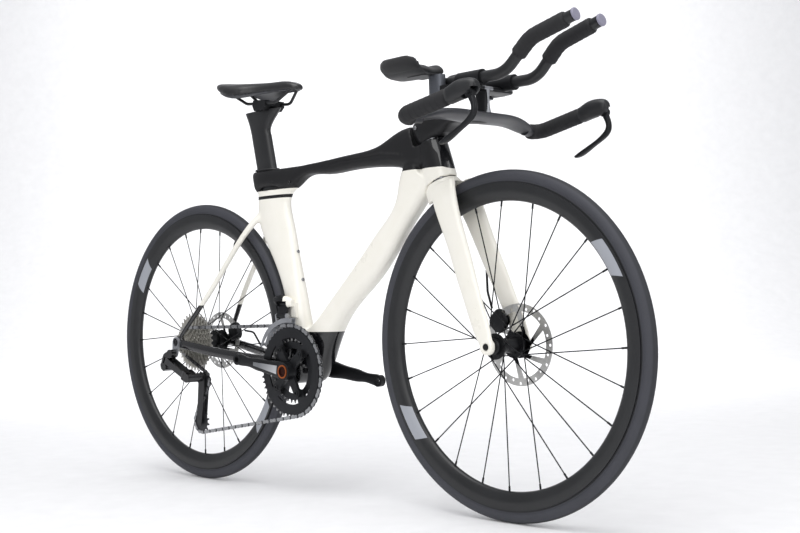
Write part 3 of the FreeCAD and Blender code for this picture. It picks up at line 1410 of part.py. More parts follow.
def make_pulley(middle, teeth):
    gear = sprocket(middle, teeth, OUTER_Y, TOOTH_THICK, pin_phase(middle, teeth), PULLEY_AXLE_R + RUNNING)
    width = CAGE_HALF - SIDE_GAP
    hub = ring(middle, OUTER_Y - width, OUTER_Y + width, 6.5, PULLEY_AXLE_R + RUNNING)
    return fused([gear, hub])


def make_rear_derailleur():
    save("derailleur_hanger", make_hanger())
    save("derailleur_mount_knuckle", make_mount_knuckle())
    save("derailleur_outer_link", make_link(-LINK_SPREAD, 3.6))
    save("derailleur_inner_link", make_link(LINK_SPREAD, 2.6))
    save("derailleur_cage_knuckle", make_cage_knuckle())
    save("derailleur_cage", make_cage())
    save("guide_pulley", make_pulley(GUIDE, GUIDE_TEETH))
    save("tension_pulley", make_pulley(TENSION, TENSION_TEETH))


# Front derailleur
FD_PIVOT = from_bb(-37, 150, -31)
FD_LINK = V(0, -8, -27)
FD_PIN_R = 2.5
FD_HALF = 5.2             # from the chain line to the inside of a cage plate
FD_REACH = 15.0           # half length of the link's eyes along X


def fd_plate(y_low, y_high, inner, outer, start, stop):
    """A cage plate curved round the chainrings, between two angles over the forward level."""
    def spot(r, angle):
        return V(BB.x + r * cos(angle), y_low, BB.z + r * sin(angle))

    middle = (start + stop) / 2
    edges = [
        Part.Arc(spot(inner, start), spot(inner, middle), spot(inner, stop)).toShape(),
        Part.LineSegment(spot(inner, stop), spot(outer - 6, stop)).toShape(),
        Part.Arc(spot(outer - 6, stop), spot(outer - 1, (middle + stop) / 2), spot(outer, middle)).toShape(),
        Part.Arc(spot(outer, middle), spot(outer, (start + middle) / 2), spot(outer, start)).toShape(),
        Part.LineSegment(spot(outer, start), spot(inner, start)).toShape(),
    ]
    return Part.Face(Part.Wire(edges)).extrude(V(0, y_high - y_low, 0))


def along_x(middle, half, radius):
    return Part.makeCylinder(radius, 2 * half, middle - V(half, 0, 0), V(1, 0, 0))


def make_front_derailleur(seat_tube):
    low = FD_PIVOT + FD_LINK
    side = FD_PIVOT.y
    mount = plate([V(q.x, side + 5, q.z) for q in (
        from_bb(-46, 162), from_bb(-8, 150), from_bb(-4, 118), from_bb(-36, 122))], V(0, 16, 0))
    block = loft([
        oval(FD_PIVOT + V(-30, -1, 9), Y_AXIS, V(0, 0, 1), 7, 7, 2.8), oval(FD_PIVOT + V(-14, -2, 6), Y_AXIS, V(0, 0, 1), 10, 13, 2.8),
        oval(FD_PIVOT + V(14, -1, 3), Y_AXIS, V(0, 0, 1), 9, 12, 2.8), oval(FD_PIVOT + V(26, 2, 1), Y_AXIS, V(0, 0, 1), 5, 8, 2.8),
    ])
    reach = FD_REACH
    gap = SIDE_GAP
    room = Part.makeBox(2 * (reach + gap), 60, 60, FD_PIVOT + V(-reach - gap, -48, -55))
    eye_room = along_x(FD_PIVOT, reach + gap, 6)
    pin = along_x(FD_PIVOT, reach + 8, FD_PIN_R)
    bolt = barrel(from_bb(-26, 139), side - 2, side + 8, 6)
    body = fused([mount, block]).cut(seat_tube).cut(room).cut(eye_room)
    body = fused([max(body.Solids, key=lambda s: s.Volume), pin])
    save("front_derailleur_body", body)
    arm = plate([FD_PIVOT + V(-reach, -3.4, 0), FD_PIVOT + V(-reach, 3.4, 0), low + V(-reach, 3.4, 0), low + V(-reach, -3.4, 0)],
                V(2 * reach, 0, 0))
    eyes = [along_x(FD_PIVOT, reach, 5.2), along_x(low, reach, 5.2)]
    link = fused([arm] + eyes)
    for spot in (FD_PIVOT, low):
        link = link.cut(along_x(spot, reach + 1, FD_PIN_R + RUNNING))
    save("front_derailleur_link", link)
    tip = pitch_radius(OUTER_TEETH)
    start, stop = radians(84), radians(151)
    thick = 1.3
    outer = fd_plate(OUTER_Y - FD_HALF - thick, OUTER_Y - FD_HALF, tip + 6.5, tip + 17, start, stop)
    inner = fd_plate(OUTER_Y + FD_HALF, OUTER_Y + FD_HALF + thick, tip - 13, tip + 17, start, stop)
    pieces = [outer, inner]
    for angle, r, size in ((radians(149), tip + 10, 2.2), (radians(90), tip + 13.5, 2.5), (radians(103), tip + 13.5, 2.5)):
        spot = BB + V(cos(angle), 0, sin(angle)) * r
        pieces.append(barrel(spot, OUTER_Y - FD_HALF - thick, OUTER_Y + FD_HALF + thick, size))
    for ahead in (-reach - gap - 4, reach + gap):
        lug = along_x(low + V(ahead + 2, 0, 0), 2, 5)
        foot = plate([low + V(ahead, -5, 0), low + V(ahead, 5, 0), V(low.x + ahead, OUTER_Y + FD_HALF + thick, BB.z + tip + 8),
                      V(low.x + ahead, OUTER_Y + FD_HALF, BB.z + tip + 8)], V(4, 0, 0))
        pieces += [lug, foot]
    pieces.append(along_x(low, reach + gap + 1, FD_PIN_R))
    save("front_derailleur_cage", fused(pieces))


# Brakes
def make_caliper(axle, angle, rotor_y, rotor_r, around, wide_in, wide_out, hose):
    """A caliper over the edge of a rotor, with its two pads and its hose."""
    out = V(cos(angle), 0, sin(angle))
    across = V(-sin(angle), 0, cos(angle))
    middle = axle + out * (rotor_r - 12)
    shape = ((-20, 12, 7), (-14, 19, 0.9), (0, 21, 1), (14, 19, 0.9), (20, 12, 7))
    wires = []
    for along, deep, grow in shape:
        scale = grow if grow <= 1 else 0.72
        centre = middle + across * along + Y_AXIS * (rotor_y + (wide_out - wide_in) / 2)
        wires.append(oval(centre, out, Y_AXIS, deep, (wide_out + wide_in) / 2 * scale, 3))
    slot_half = 2.9
    body = loft(wires).cut(barrel(axle, rotor_y - slot_half, rotor_y + slot_half, rotor_r + 2))
    solids = [body.cut(around)]
    for side in (-1, 1):
        near = rotor_y + side * (ROTOR_THICK / 2 + SIDE_GAP)
        far = rotor_y + side * slot_half
        corners = [middle + out * o + across * a for o, a in ((-7, -10), (7, -10), (7, 10), (-7, 10))]
        low, high = min(near, far), max(near, far)
        solids.append(plate([V(q.x, low, q.z) for q in corners], V(0, high - low, 0)))
    return solids + [hose]


def make_brakes(fork, chainstays):
    top = head(6, -190, 49)
    hose = bent_tube([top, head(-8, -232, 51), head(-4, -268, 46)], [20], 2.4)
    front = make_caliper(FRONT, radians(137), FRONT_ROTOR_Y, FRONT_ROTOR_R, fork, 8.5, 9.5, hose.cut(fork))
    save("front_brake_caliper", *front)
    stays = Part.makeCompound(chainstays)
    points = [REAR + V(88, 60, 24), REAR + V(118, 63, 20), REAR + V(150, 61, -14)]
    rear_hose = bent_tube(points, [20], 2.4).cut(stays)
    rear = make_caliper(REAR, radians(22), REAR_ROTOR_Y, REAR_ROTOR_R, stays, 9.0, 9.5, rear_hose)
    save("rear_brake_caliper", *rear)


os.makedirs("parts", exist_ok=True)
make_wheels()
seat_tube, chainstays = make_frame()
fork = make_fork()
save("fork", fork)
save("front_axle", make_front_axle())
make_cockpit()
make_seat()
save("chain", *make_chain())
save("cassette", *make_cassette())
save("freehub_body", make_freehub())
make_cranks()
make_rear_derailleur()
make_front_derailleur(seat_tube)
make_brakes(fork, chainstays)
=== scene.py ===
# Looks of a time trial bike, in metres, in the frame of its CAD model:
# +X forward, +Y to the rider's left, +Z up, with the origin on the ground midway between the wheels.
from math import cos, pi, radians, sin

import bmesh
import bpy
from mathutils import Matrix, Vector


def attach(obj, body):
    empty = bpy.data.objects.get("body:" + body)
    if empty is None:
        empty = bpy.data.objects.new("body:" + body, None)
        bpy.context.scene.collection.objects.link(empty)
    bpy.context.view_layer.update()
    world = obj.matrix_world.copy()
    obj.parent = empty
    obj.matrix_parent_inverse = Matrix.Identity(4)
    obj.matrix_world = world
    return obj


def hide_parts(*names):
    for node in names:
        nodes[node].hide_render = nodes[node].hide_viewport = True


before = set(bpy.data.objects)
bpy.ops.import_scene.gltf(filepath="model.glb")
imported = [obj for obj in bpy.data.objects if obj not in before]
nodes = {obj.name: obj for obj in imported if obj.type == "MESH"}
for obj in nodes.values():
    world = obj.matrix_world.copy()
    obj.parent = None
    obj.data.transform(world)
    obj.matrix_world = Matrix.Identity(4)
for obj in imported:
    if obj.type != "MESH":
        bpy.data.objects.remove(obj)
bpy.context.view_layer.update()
scene = bpy.context.scene
MM = 0.001

# Places of the CAD model that the looks follow
AXLE_HEIGHT = 0.3365
REAR = Vector((-0.4875, 0, AXLE_HEIGHT))
FRONT = Vector((0.4875, 0, AXLE_HEIGHT))
BOTTOM_BRACKET = Vector((-0.09774, 0, 0.2755))
CROWN = Vector((0.33681, 0, 0.66478))
HEAD_ANGLE = radians(72.5)
STEER_UP = Vector((-cos(HEAD_ANGLE), 0, sin(HEAD_ANGLE)))
STEER_FRONT = Vector((sin(HEAD_ANGLE), 0, cos(HEAD_ANGLE)))
CRANK_HEADING = pi - radians(8.3)
BAR = CROWN + STEER_FRONT * 0.129 + STEER_UP * 0.082
CHAIN_LINE = -0.0474
LINK_GAP = 0.0018           # half of the room between a chain link's outer plates
OUTER_TOOTH_RADIUS = 0.1042
INNER_TOOTH_RADIUS = 0.0718
BORE_RADIUS = 0.0118
CARRIER_RADIUS = 0.037

# Wheel looks: where tread and bead change colour, and the pale panel on each rim
TREAD_FROM, TREAD_TO = 0.3325, 0.3345
BEAD_FROM, BEAD_TO = 0.3150, 0.3135
RIM_PANEL_LOW, RIM_PANEL_HIGH = 0.2810, 0.3062
RIM_PANEL_MIDDLE = 0.2935
RIM_PANEL_LEAN = 2.0        # radians of slant for each metre of radius
RIM_PANEL_HALF = radians(7.5)
FRONT_PANEL_TURN = radians(33)
REAR_PANEL_TURN = radians(145)

# Silver panel of the right crank arm, measured from the spindle along the arm
CRANK_PANEL_FROM, CRANK_PANEL_TO = 0.022, 0.105
CRANK_PANEL_WIDE, CRANK_PANEL_NARROW = 0.0095, 0.004
CRANK_FACE = -0.066

# Camera, from the photograph's perspective
CAMERA_PLACE = Vector((2.0072, -1.7982, 0.4386))
CAMERA_YAW = radians(45.066)
CAMERA_PITCH = radians(1.323)
CAMERA_ROLL = radians(-1.405)
LENS_MM = 55.21


def from_bar(ahead, up, side):
    return BAR + Vector((ahead, side, up)) * MM


# Node helper and colours
def linear(hex_colour):
    """An sRGB hex colour as the linear colour that a shader takes."""
    channels = [int(hex_colour[k:k + 2], 16) / 255 for k in (1, 3, 5)]
    curve = [c / 12.92 if c <= 0.04045 else ((c + 0.055) / 1.055) ** 2.4 for c in channels]
    return (*curve, 1.0)


def put(tree, kind, inputs, **settings):
    """Adds a node: an input is a value, or the output of another node to link from."""
    node = tree.nodes.new(kind)
    for name, value in settings.items():
        setattr(node, name, value)
    for name, value in inputs.items():
        if isinstance(value, bpy.types.NodeSocket):
            tree.links.new(value, node.inputs[name])
        else:
            node.inputs[name].default_value = value
    return node


def maths(tree, operation, *values):
    """The output of a math node that works on one or two values."""
    return put(tree, "ShaderNodeMath", dict(enumerate(values)), operation=operation).outputs[0]


def finish(name, dark, light, grain_mm, rough, relief_mm=0.0, stretch=(1, 1, 1), **shader):
    """A material whose colour, gloss and relief follow a fine grain and broad hand marks."""
    material = bpy.data.materials.new(name)
    material.use_nodes = True
    tree = material.node_tree
    surface = tree.nodes["Principled BSDF"]
    place = put(tree, "ShaderNodeTexCoord", {})
    spread = put(tree, "ShaderNodeMapping", {"Vector": place.outputs["Object"], "Scale": stretch})
    grain = put(tree, "ShaderNodeTexNoise", {
        "Vector": spread.outputs[0], "Scale": 1 / (grain_mm * MM), "Detail": 3.0, "Roughness": 0.6})
    marks = put(tree, "ShaderNodeTexNoise", {
        "Vector": place.outputs["Object"], "Scale": 1 / (70 * MM), "Detail": 2.0})
    both = maths(tree, "ADD", grain.outputs[0], marks.outputs[0])
    half = put(tree, "ShaderNodeMapRange", {"Value": both, "From Min": 0.6, "From Max": 1.4})
    tone = put(tree, "ShaderNodeMix", {
        0: half.outputs[0], 6: linear(dark), 7: linear(light)}, data_type="RGBA")
    gloss = put(tree, "ShaderNodeMapRange", {
        "Value": half.outputs[0], "To Min": rough[0], "To Max": rough[1]})
    tree.links.new(tone.outputs[2], surface.inputs["Base Color"])
    tree.links.new(gloss.outputs[0], surface.inputs["Roughness"])
    if relief_mm:
        bump = put(tree, "ShaderNodeBump", {
            "Height": grain.outputs[0], "Distance": relief_mm * MM, "Strength": 0.6})
        tree.links.new(bump.outputs[0], surface.inputs["Normal"])
    for socket, value in shader.items():
        surface.inputs[socket.replace("_", " ").title().replace("Ior", "IOR")].default_value = value
    return material


# Pearl lacquer over a moulded frame: warm white with a soft clear gloss.
pearl_lacquer = finish(
    "pearl_white_lacquer", "#F0EDE2", "#F5F2E9", 30.0, (0.26, 0.32), coat_weight=0.5, coat_roughness=0.08)
# Satin paint: even charcoal black that spreads highlights wide.
satin_paint = finish(
    "satin_black_paint", "#111113", "#171719", 5.0, (0.42, 0.52), 0.02, specular_ior_level=0.32)
# Clear-lacquered black: deep, with sharp reflections.
gloss_lacquer = finish(
    "gloss_black_lacquer", "#0C0C0E", "#141417", 8.0, (0.10, 0.18), coat_weight=0.6, coat_roughness=0.04)
# Anodised aluminium: black, with a fine matte bead-blasted grain.
black_anodised = finish(
    "black_anodised_aluminium", "#161719", "#232427", 1.2, (0.34, 0.46), 0.02, metallic=0.55)
# Machined aluminium: pale grey with faint tool marks.
grey_alloy = finish("machined_aluminium", "#8F9196", "#B2B4B8", 1.5, (0.32, 0.45), 0.02, metallic=0.9)
# Nickel-plated steel: bright, worn a little where parts rub.
plated_steel = finish("nickel_plated_steel", "#8B8C8E", "#B7B8BA", 1.8, (0.20, 0.34), 0.01, metallic=1.0)
# Satin nickel of the sprockets: paler and duller than the chain.
sprocket_steel = finish(
    "satin_nickel_sprockets", "#9C9A94", "#C4C2BB", 1.5, (0.36, 0.48), 0.01, metallic=0.7)
# Chain steel with painted shade: rollers and inner plates are painted darker for the shade that the outer
# plates cast on them.
chain_painted_shade = finish("chain_steel_painted_shade", "#3F4042", "#5A5B5E", 1.5, (0.28, 0.4), metallic=0.9)
# Bearing steel: polished races in a dark seal.
bearing_steel = finish("bearing_steel", "#77787C", "#A9AAAE", 1.5, (0.2, 0.3), metallic=1.0)
# Black-oxide steel: thin bladed wire with a dull sheen.
spoke_steel = finish("black_oxide_steel", "#1B1C1E", "#2B2C2F", 2.0, (0.28, 0.4), metallic=0.7)
# Glass-filled nylon: moulded, slightly uneven, low gloss.
moulded_nylon = finish("glass_filled_nylon", "#131416", "#1F2023", 1.0, (0.42, 0.58), 0.04)
# Soft lever rubber: fine stipple and no sharp highlight.
hood_rubber = finish("stippled_rubber", "#131416", "#1C1D20", 0.9, (0.36, 0.5), 0.05)
# Lilac-grey thermoplastic of the shift buttons.
button_plastic = finish("lilac_grey_abs", "#7C7A8C", "#9492A2", 1.2, (0.35, 0.45), 0.02)
# Woven tape of the grips: matte, with a cloth-like grain.
grip_cloth = finish("cork_rubber_tape", "#141416", "#202023", 1.6, (0.7, 0.85), 0.15)
# Synthetic leather of the saddle: fine pores under a low satin coat.
saddle_skin = finish(
    "microfibre_leather", "#0D0D0F", "#161618", 1.4, (0.34, 0.46), 0.06,
    coat_weight=0.3, coat_roughness=0.2)
# Closed-cell foam under knitted cloth: matte black arm pads.
pad_cloth = finish("knitted_pad_cloth", "#111113", "#1C1C1F", 1.8, (0.7, 0.85), 0.2, sheen_weight=0.15)
# Carbon rails and posts: dark satin with a long fibre grain.
fibre_satin = finish(
    "unidirectional_carbon", "#141517", "#1E1F21", 1.6, (0.32, 0.42), 0.01, stretch=(1, 1, 0.12))
# Moulded saddle base: mid grey nylon.
base_nylon = finish("grey_nylon", "#3A3B3E", "#4A4B4F", 1.5, (0.45, 0.55), 0.03)
# Dull grey anodising on the columns under the arm pads.
column_grey = finish("dull_grey_anodising", "#4C4F55", "#666970", 1.5, (0.35, 0.48), 0.01, metallic=0.6)


def wheel_polar(tree, centre):
    """Distance from a wheel's axle and angle round it, as outputs for a pattern."""
    place = put(tree, "ShaderNodeTexCoord", {})
    moved = put(tree, "ShaderNodeMapping", {"Vector": place.outputs["Object"], "Location": -centre})
    flat = put(tree, "ShaderNodeVectorMath", {0: moved.outputs[0], 1: (1, 0, 1)}, operation="MULTIPLY")
    radius = put(tree, "ShaderNodeVectorMath", {0: flat.outputs[0]}, operation="LENGTH")
    parts = put(tree, "ShaderNodeSeparateXYZ", {0: moved.outputs[0]})
    angle = maths(tree, "ARCTAN2", parts.outputs["Z"], parts.outputs["X"])
    return radius.outputs["Value"], angle


def over(tree, surface, mask, colour):
    """Lays a second colour over a material's own where a mask is 1."""
    own = surface.inputs["Base Color"].links[0].from_socket
    mixed = put(tree, "ShaderNodeMix", {0: mask, 6: own, 7: linear(colour)}, data_type="RGBA")
    tree.links.new(mixed.outputs[2], surface.inputs["Base Color"])


def make_tyre_rubber(name, centre):
    """Slick rubber: slate grey sides, a darker dusty tread and a dark bead by the rim."""
    material = finish(name, "#33343A", "#3F4047", 2.2, (0.6, 0.75), 0.05)
    tree = material.node_tree
    surface = tree.nodes["Principled BSDF"]
    radius, _ = wheel_polar(tree, centre)
    tread = put(tree, "ShaderNodeMapRange", {
        "Value": radius, "From Min": TREAD_FROM, "From Max": TREAD_TO})
    over(tree, surface, tread.outputs[0], "#2B2C31")
    bead = put(tree, "ShaderNodeMapRange", {"Value": radius, "From Min": BEAD_FROM, "From Max": BEAD_TO})
    over(tree, surface, bead.outputs[0], "#1C1D20")
    return material


def make_rim_lacquer(name, centre, turn):
    """Satin composite rim with a plain slanted pale panel at each of two opposite places."""
    material = finish(name, "#161719", "#1F2022", 4.0, (0.30, 0.42), 0.01)
    tree = material.node_tree
    surface = tree.nodes["Principled BSDF"]
    radius, angle = wheel_polar(tree, centre)
    turned = maths(tree, "SUBTRACT", angle, turn)
    from_middle = maths(tree, "SUBTRACT", radius, RIM_PANEL_MIDDLE)
    lean = maths(tree, "MULTIPLY", from_middle, RIM_PANEL_LEAN)
    slanted = maths(tree, "ADD", turned, lean)
    opposite = maths(tree, "PINGPONG", slanted, pi / 2)
    near = maths(tree, "LESS_THAN", opposite, RIM_PANEL_HALF)
    low = maths(tree, "GREATER_THAN", radius, RIM_PANEL_LOW)
    high = maths(tree, "LESS_THAN", radius, RIM_PANEL_HIGH)
    band = maths(tree, "MULTIPLY", low, high)
    mask = maths(tree, "MULTIPLY", band, near)
    over(tree, surface, mask, "#9EA1A8")
    return material


def make_disc_steel(name, centre):
    """Stainless brake disc, brushed round its axle by the pads, on a black carrier."""
    material = finish(name, "#B5B5B3", "#DAD9D6", 2.0, (0.26, 0.4), metallic=0.85)
    tree = material.node_tree
    surface = tree.nodes["Principled BSDF"]
    radius, angle = wheel_polar(tree, centre)
    lines = put(tree, "ShaderNodeCombineXYZ", {"X": radius, "Y": angle})
    fine = put(tree, "ShaderNodeMapping", {"Vector": lines.outputs[0], "Scale": (1 / (0.8 * MM), 1.5, 1)})
    brushed = put(tree, "ShaderNodeTexNoise", {"Vector": fine.outputs[0], "Scale": 1.0, "Detail": 2.0})
    relief = put(tree, "ShaderNodeBump", {
        "Height": brushed.outputs[0], "Distance": 0.05 * MM, "Strength": 0.5})
    tree.links.new(relief.outputs[0], surface.inputs["Normal"])
    carrier = maths(tree, "LESS_THAN", radius, CARRIER_RADIUS)
    over(tree, surface, carrier, "#17181A")
    return material


def make_ring_alloy(name, tooth_radius):
    """Hard-anodised chainring: dark face, with bright steel-grey teeth where the chain rubs."""
    material = finish(name, "#232426", "#313235", 1.5, (0.3, 0.42), 0.01, metallic=0.7)
    tree = material.node_tree
    surface = tree.nodes["Principled BSDF"]
    radius, _ = wheel_polar(tree, BOTTOM_BRACKET)
    worn = put(tree, "ShaderNodeMapRange", {
        "Value": radius, "From Min": tooth_radius - 0.006, "From Max": tooth_radius - 0.003})
    over(tree, surface, worn.outputs[0], "#9C9C9C")
    return material


def make_spindle_ring(name):
    """Copper-coloured preload ring round the spindle's bore, whose end face is painted dark brown as a
    painted reflection of the copper ring.
    """
    material = finish(name, "#A5522A", "#C06A38", 1.5, (0.28, 0.38), metallic=0.9)
    tree = material.node_tree
    radius, _ = wheel_polar(tree, BOTTOM_BRACKET)
    # Painted reflection: inside the bore radius the end face takes a dark brown for the copper ring's
    # reflection.
    bore = maths(tree, "LESS_THAN", radius, BORE_RADIUS)
    over(tree, tree.nodes["Principled BSDF"], bore, "#3A1A12")
    return material


def make_crank_alloy(name):
    """Black forged crank with a tapered silver panel along its outer face, with a painted highlight that
    lightens it towards the spindle.
    """
    material = finish(name, "#161719", "#232427", 1.2, (0.34, 0.46), 0.02, metallic=0.55)
    tree = material.node_tree
    surface = tree.nodes["Principled BSDF"]
    place = put(tree, "ShaderNodeTexCoord", {})
    moved = put(tree, "ShaderNodeMapping", {
        "Vector": place.outputs["Object"], "Location": -BOTTOM_BRACKET})
    turned = put(tree, "ShaderNodeMapping", {
        "Vector": moved.outputs[0], "Rotation": (0, CRANK_HEADING, 0)})
    parts = put(tree, "ShaderNodeSeparateXYZ", {0: turned.outputs[0]})
    along = parts.outputs["X"]
    across = maths(tree, "ABSOLUTE", parts.outputs["Z"])
    half = put(tree, "ShaderNodeMapRange", {
        "Value": along, "From Min": CRANK_PANEL_FROM, "From Max": CRANK_PANEL_TO,
        "To Min": CRANK_PANEL_WIDE, "To Max": CRANK_PANEL_NARROW})
    limits = (
        (across, half.outputs[0]), (along, CRANK_PANEL_TO), (CRANK_PANEL_FROM, along),
        (parts.outputs["Y"], CRANK_FACE))
    panel = 1.0
    for less, more in limits:
        inside = maths(tree, "LESS_THAN", less, more)
        panel = maths(tree, "MULTIPLY", panel, inside)
    over(tree, surface, panel, "#808286")
    # Painted highlight: the silver panel is lightened towards the spindle.
    near = put(tree, "ShaderNodeMapRange", {"Value": along, "From Min": 0.085, "From Max": 0.03})
    bright = maths(tree, "MULTIPLY", panel, near.outputs[0])
    over(tree, surface, bright, "#C4C5C8")
    return material


def make_carbon_weave(name):
    """Twill carbon under satin lacquer: dark grey checks about 3 mm wide, turned to the bar."""
    material = finish(name, "#202124", "#34353A", 3.0, (0.34, 0.44), 0.01)
    tree = material.node_tree
    surface = tree.nodes["Principled BSDF"]
    place = put(tree, "ShaderNodeTexCoord", {})
    turned = put(tree, "ShaderNodeMapping", {
        "Vector": place.outputs["Object"], "Rotation": (0, 0, radians(45))})
    weave = put(tree, "ShaderNodeTexChecker", {"Vector": turned.outputs[0], "Scale": 1 / (3.0 * MM)})
    faint = maths(tree, "MULTIPLY", weave.outputs["Fac"], 0.35)
    over(tree, surface, faint, "#3E3F45")
    return material


carbon_weave = make_carbon_weave("satin_twill_carbon")

# Finishes of the CAD pieces that stay as they are
node_finish = {
    "frame_bearings": bearing_steel, "seat_post_clamp": moulded_nylon, "rear_axle": black_anodised,
    "rear_brake_caliper": black_anodised, "front_brake_caliper": black_anodised,
    "derailleur_hanger": grey_alloy, "front_derailleur_body": black_anodised,
    "chain": plated_steel, "derailleur_mount_knuckle": gloss_lacquer,
    "derailleur_outer_link": gloss_lacquer, "derailleur_inner_link": moulded_nylon,
    "derailleur_cage_knuckle": gloss_lacquer, "derailleur_cage": fibre_satin,
    "guide_pulley": moulded_nylon, "tension_pulley": moulded_nylon,
    "front_derailleur_link": black_anodised, "front_derailleur_cage": grey_alloy,
    "crank_spindle": make_spindle_ring("copper_anodised_ring"),
    "crank_arm_right": make_crank_alloy("panelled_crank_alloy"), "crank_arm_left": black_anodised,
    "outer_chainring": make_ring_alloy("hard_anodised_outer_ring", OUTER_TOOTH_RADIUS),
    "inner_chainring": make_ring_alloy("hard_anodised_inner_ring", INNER_TOOTH_RADIUS),
    "cassette": sprocket_steel, "freehub_body": black_anodised, "front_axle": black_anodised,
    "stem": satin_paint, "base_bar": carbon_weave, "brake_hoods": hood_rubber,
    "extension_bars": fibre_satin, "riser_tower": black_anodised, "arm_rests": moulded_nylon,
    "brake_lever_right": black_anodised, "brake_lever_left": black_anodised,
    "shift_button_right": button_plastic, "shift_button_left": button_plastic,
    "seat_post": fibre_satin, "saddle_clamp": black_anodised, "saddle_rails": fibre_satin,
    "saddle_shell": base_nylon,
}
for wheel, centre, turn in (("front", FRONT, FRONT_PANEL_TURN), ("rear", REAR, REAR_PANEL_TURN)):
    node_finish[wheel + "_tyre"] = make_tyre_rubber(wheel + "_slick_rubber", centre)
    node_finish[wheel + "_rim"] = make_rim_lacquer(wheel + "_satin_rim", centre, turn)
    node_finish[wheel + "_spokes"] = spoke_steel
    node_finish[wheel + "_hub"] = black_anodised
    node_finish[wheel + "_rotor"] = make_disc_steel(wheel + "_brushed_disc", centre)
for name, material in node_finish.items():
    nodes[name].data.materials.clear()
    nodes[name].data.materials.append(material)


def paint_faces(name, material, chosen):
    """A second finish on the faces of a CAD piece whose middle passes a test."""
    mesh = nodes[name].data
    mesh.materials.append(material)
    index = len(mesh.materials) - 1
    for face in mesh.polygons:
        if chosen(face.center):
            face.material_index = index


paint_faces("front_derailleur_body", pearl_lacquer, lambda spot: spot.y > -0.0262 or spot.x > -0.128)
paint_faces("crank_spindle", black_anodised, lambda spot: abs(spot.y) < 0.0720)
# Painted shade: the faces between the outer plates take the darker chain material.
paint_faces("chain", chain_painted_shade, lambda spot: abs(spot.y - CHAIN_LINE) < LINK_GAP)
paint_faces("riser_tower", grey_alloy, lambda spot: spot.x > BAR.x + 0.0235 and abs(spot.y) < 0.012)
paint_faces("riser_tower", column_grey, lambda spot: spot.x < BAR.x - 0.0275 and spot.z > BAR.z + 0.044)


# Pieces made from copies of CAD solids
def new_piece(name, mesh, *materials):
    piece = bpy.data.objects.new(name, mesh)
    scene.collection.objects.link(piece)
    for material in materials:
        mesh.materials.append(material)
    return piece


def bake(piece):
    """Turns a piece's modifiers into its plain mesh."""
    graph = bpy.context.evaluated_depsgraph_get()
    done = bpy.data.meshes.new_from_object(piece.evaluated_get(graph))
    piece.modifiers.clear()
    piece.data = done
    return piece


def joined_copy(name, members):
    """One mesh of several CAD solids, with their loose triangles sewn together."""
    sewn = bmesh.new()
    for member in members:
        sewn.from_mesh(nodes[member].data)
    bmesh.ops.remove_doubles(sewn, verts=sewn.verts, dist=1e-6)
    mesh = bpy.data.meshes.new(name)
    sewn.to_mesh(mesh)
    sewn.free()
    return mesh


def moulded_skin(name, members, voxel, rounds):
    """One shell over CAD pieces that are bonded and filleted into one on the real bike."""
    piece = new_piece(name, joined_copy(name, members))
    remesh = piece.modifiers.new("moulded", "REMESH")
    remesh.mode = "VOXEL"
    remesh.voxel_size = voxel
    blended = piece.modifiers.new("blended", "SMOOTH")
    blended.factor = 0.5
    blended.iterations = rounds
    bake(piece)
    piece.data.materials.clear()
    for face in piece.data.polygons:
        face.use_smooth = True
    return piece


# Frame: paint lines as (level over the ground, from X, to X)
CLUSTER_LINE = 0.6865
BAND_LOW = 0.6670
BAND_HIGH = 0.6744
HEAD_LINE = 0.6915
HEAD_FROM = 0.215         # ahead of here the black ends at the head's line
NOSE_FROM = 0.3499
NOSE_DROP = 0.388         # how steeply the line falls round the nose
BRACKET_LINE = 0.3620
STAY_LINE = 0.4250
STAY_BEFORE = -0.33
GLOSS_LINE = (Vector((0.3142, 0, 0.7473)), Vector((0.3381, 0, 0.7188)), Vector((0.3479, 0, 0.6880)))
CREASE = ((-0.039, 0.7213, 0.0005), (0.047, 0.7300, 0.0022), (0.120, 0.7322, 0.0040),
          (0.173, 0.7318, 0.0058), (0.215, 0.7262, 0.0050), (0.2435, 0.7242, 0.0005))
CREASE_DEPTH = 0.0032
CREASE_FULL = 0.003       # half height from which the hollow has its full depth


def nose_line(x):
    return HEAD_LINE - max(0.0, x - NOSE_FROM) * NOSE_DROP


def ahead_of_gloss(spot):
    """Whether a point of the head lies ahead of the edge between satin and gloss black."""
    top, middle, low = GLOSS_LINE
    one, other = (top, middle) if spot.z > middle.z else (middle, low)
    share = (one.z - spot.z) / (one.z - other.z)
    return spot.x > one.x + (other.x - one.x) * share


def frame_colour(spot):
    """Which finish of the frame a point takes: 0 pearl, 1 satin black, 2 gloss black."""
    if spot.x < STAY_BEFORE:
        return 2 if spot.z < STAY_LINE else 0
    if spot.z < BRACKET_LINE:
        return 2
    if spot.x > HEAD_FROM:
        if spot.z < nose_line(spot.x):
            return 0
        return 2 if ahead_of_gloss(spot) else 1
    if BAND_LOW < spot.z < BAND_HIGH or spot.z > CLUSTER_LINE:
        return 1
    return 0


def cut_line(sewn, place, across, chosen):
    """Cuts the skin along a plane where a test allows, so that a paint line is crisp."""
    faces = [face for face in sewn.faces if chosen(face.calc_center_median())]
    edges = {edge for face in faces for edge in face.edges}
    verts = {vert for face in faces for vert in face.verts}
    bmesh.ops.bisect_plane(
        sewn, geom=[*verts, *edges, *faces], plane_co=place, plane_no=across, dist=1e-6)


def crease_depth(spot):
    """How deep the long tapered hollow in the top tube's side is at a point."""
    for (x0, z0, half0), (x1, z1, half1) in zip(CREASE, CREASE[1:]):
        if x0 <= spot.x < x1:
            share = (spot.x - x0) / (x1 - x0)
            half = half0 + (half1 - half0) * share
            off = (spot.z - z0 - (z1 - z0) * share) / half
            return CREASE_DEPTH * max(0.0, 1 - off * off) * min(1.0, half / CREASE_FULL)
    return 0.0


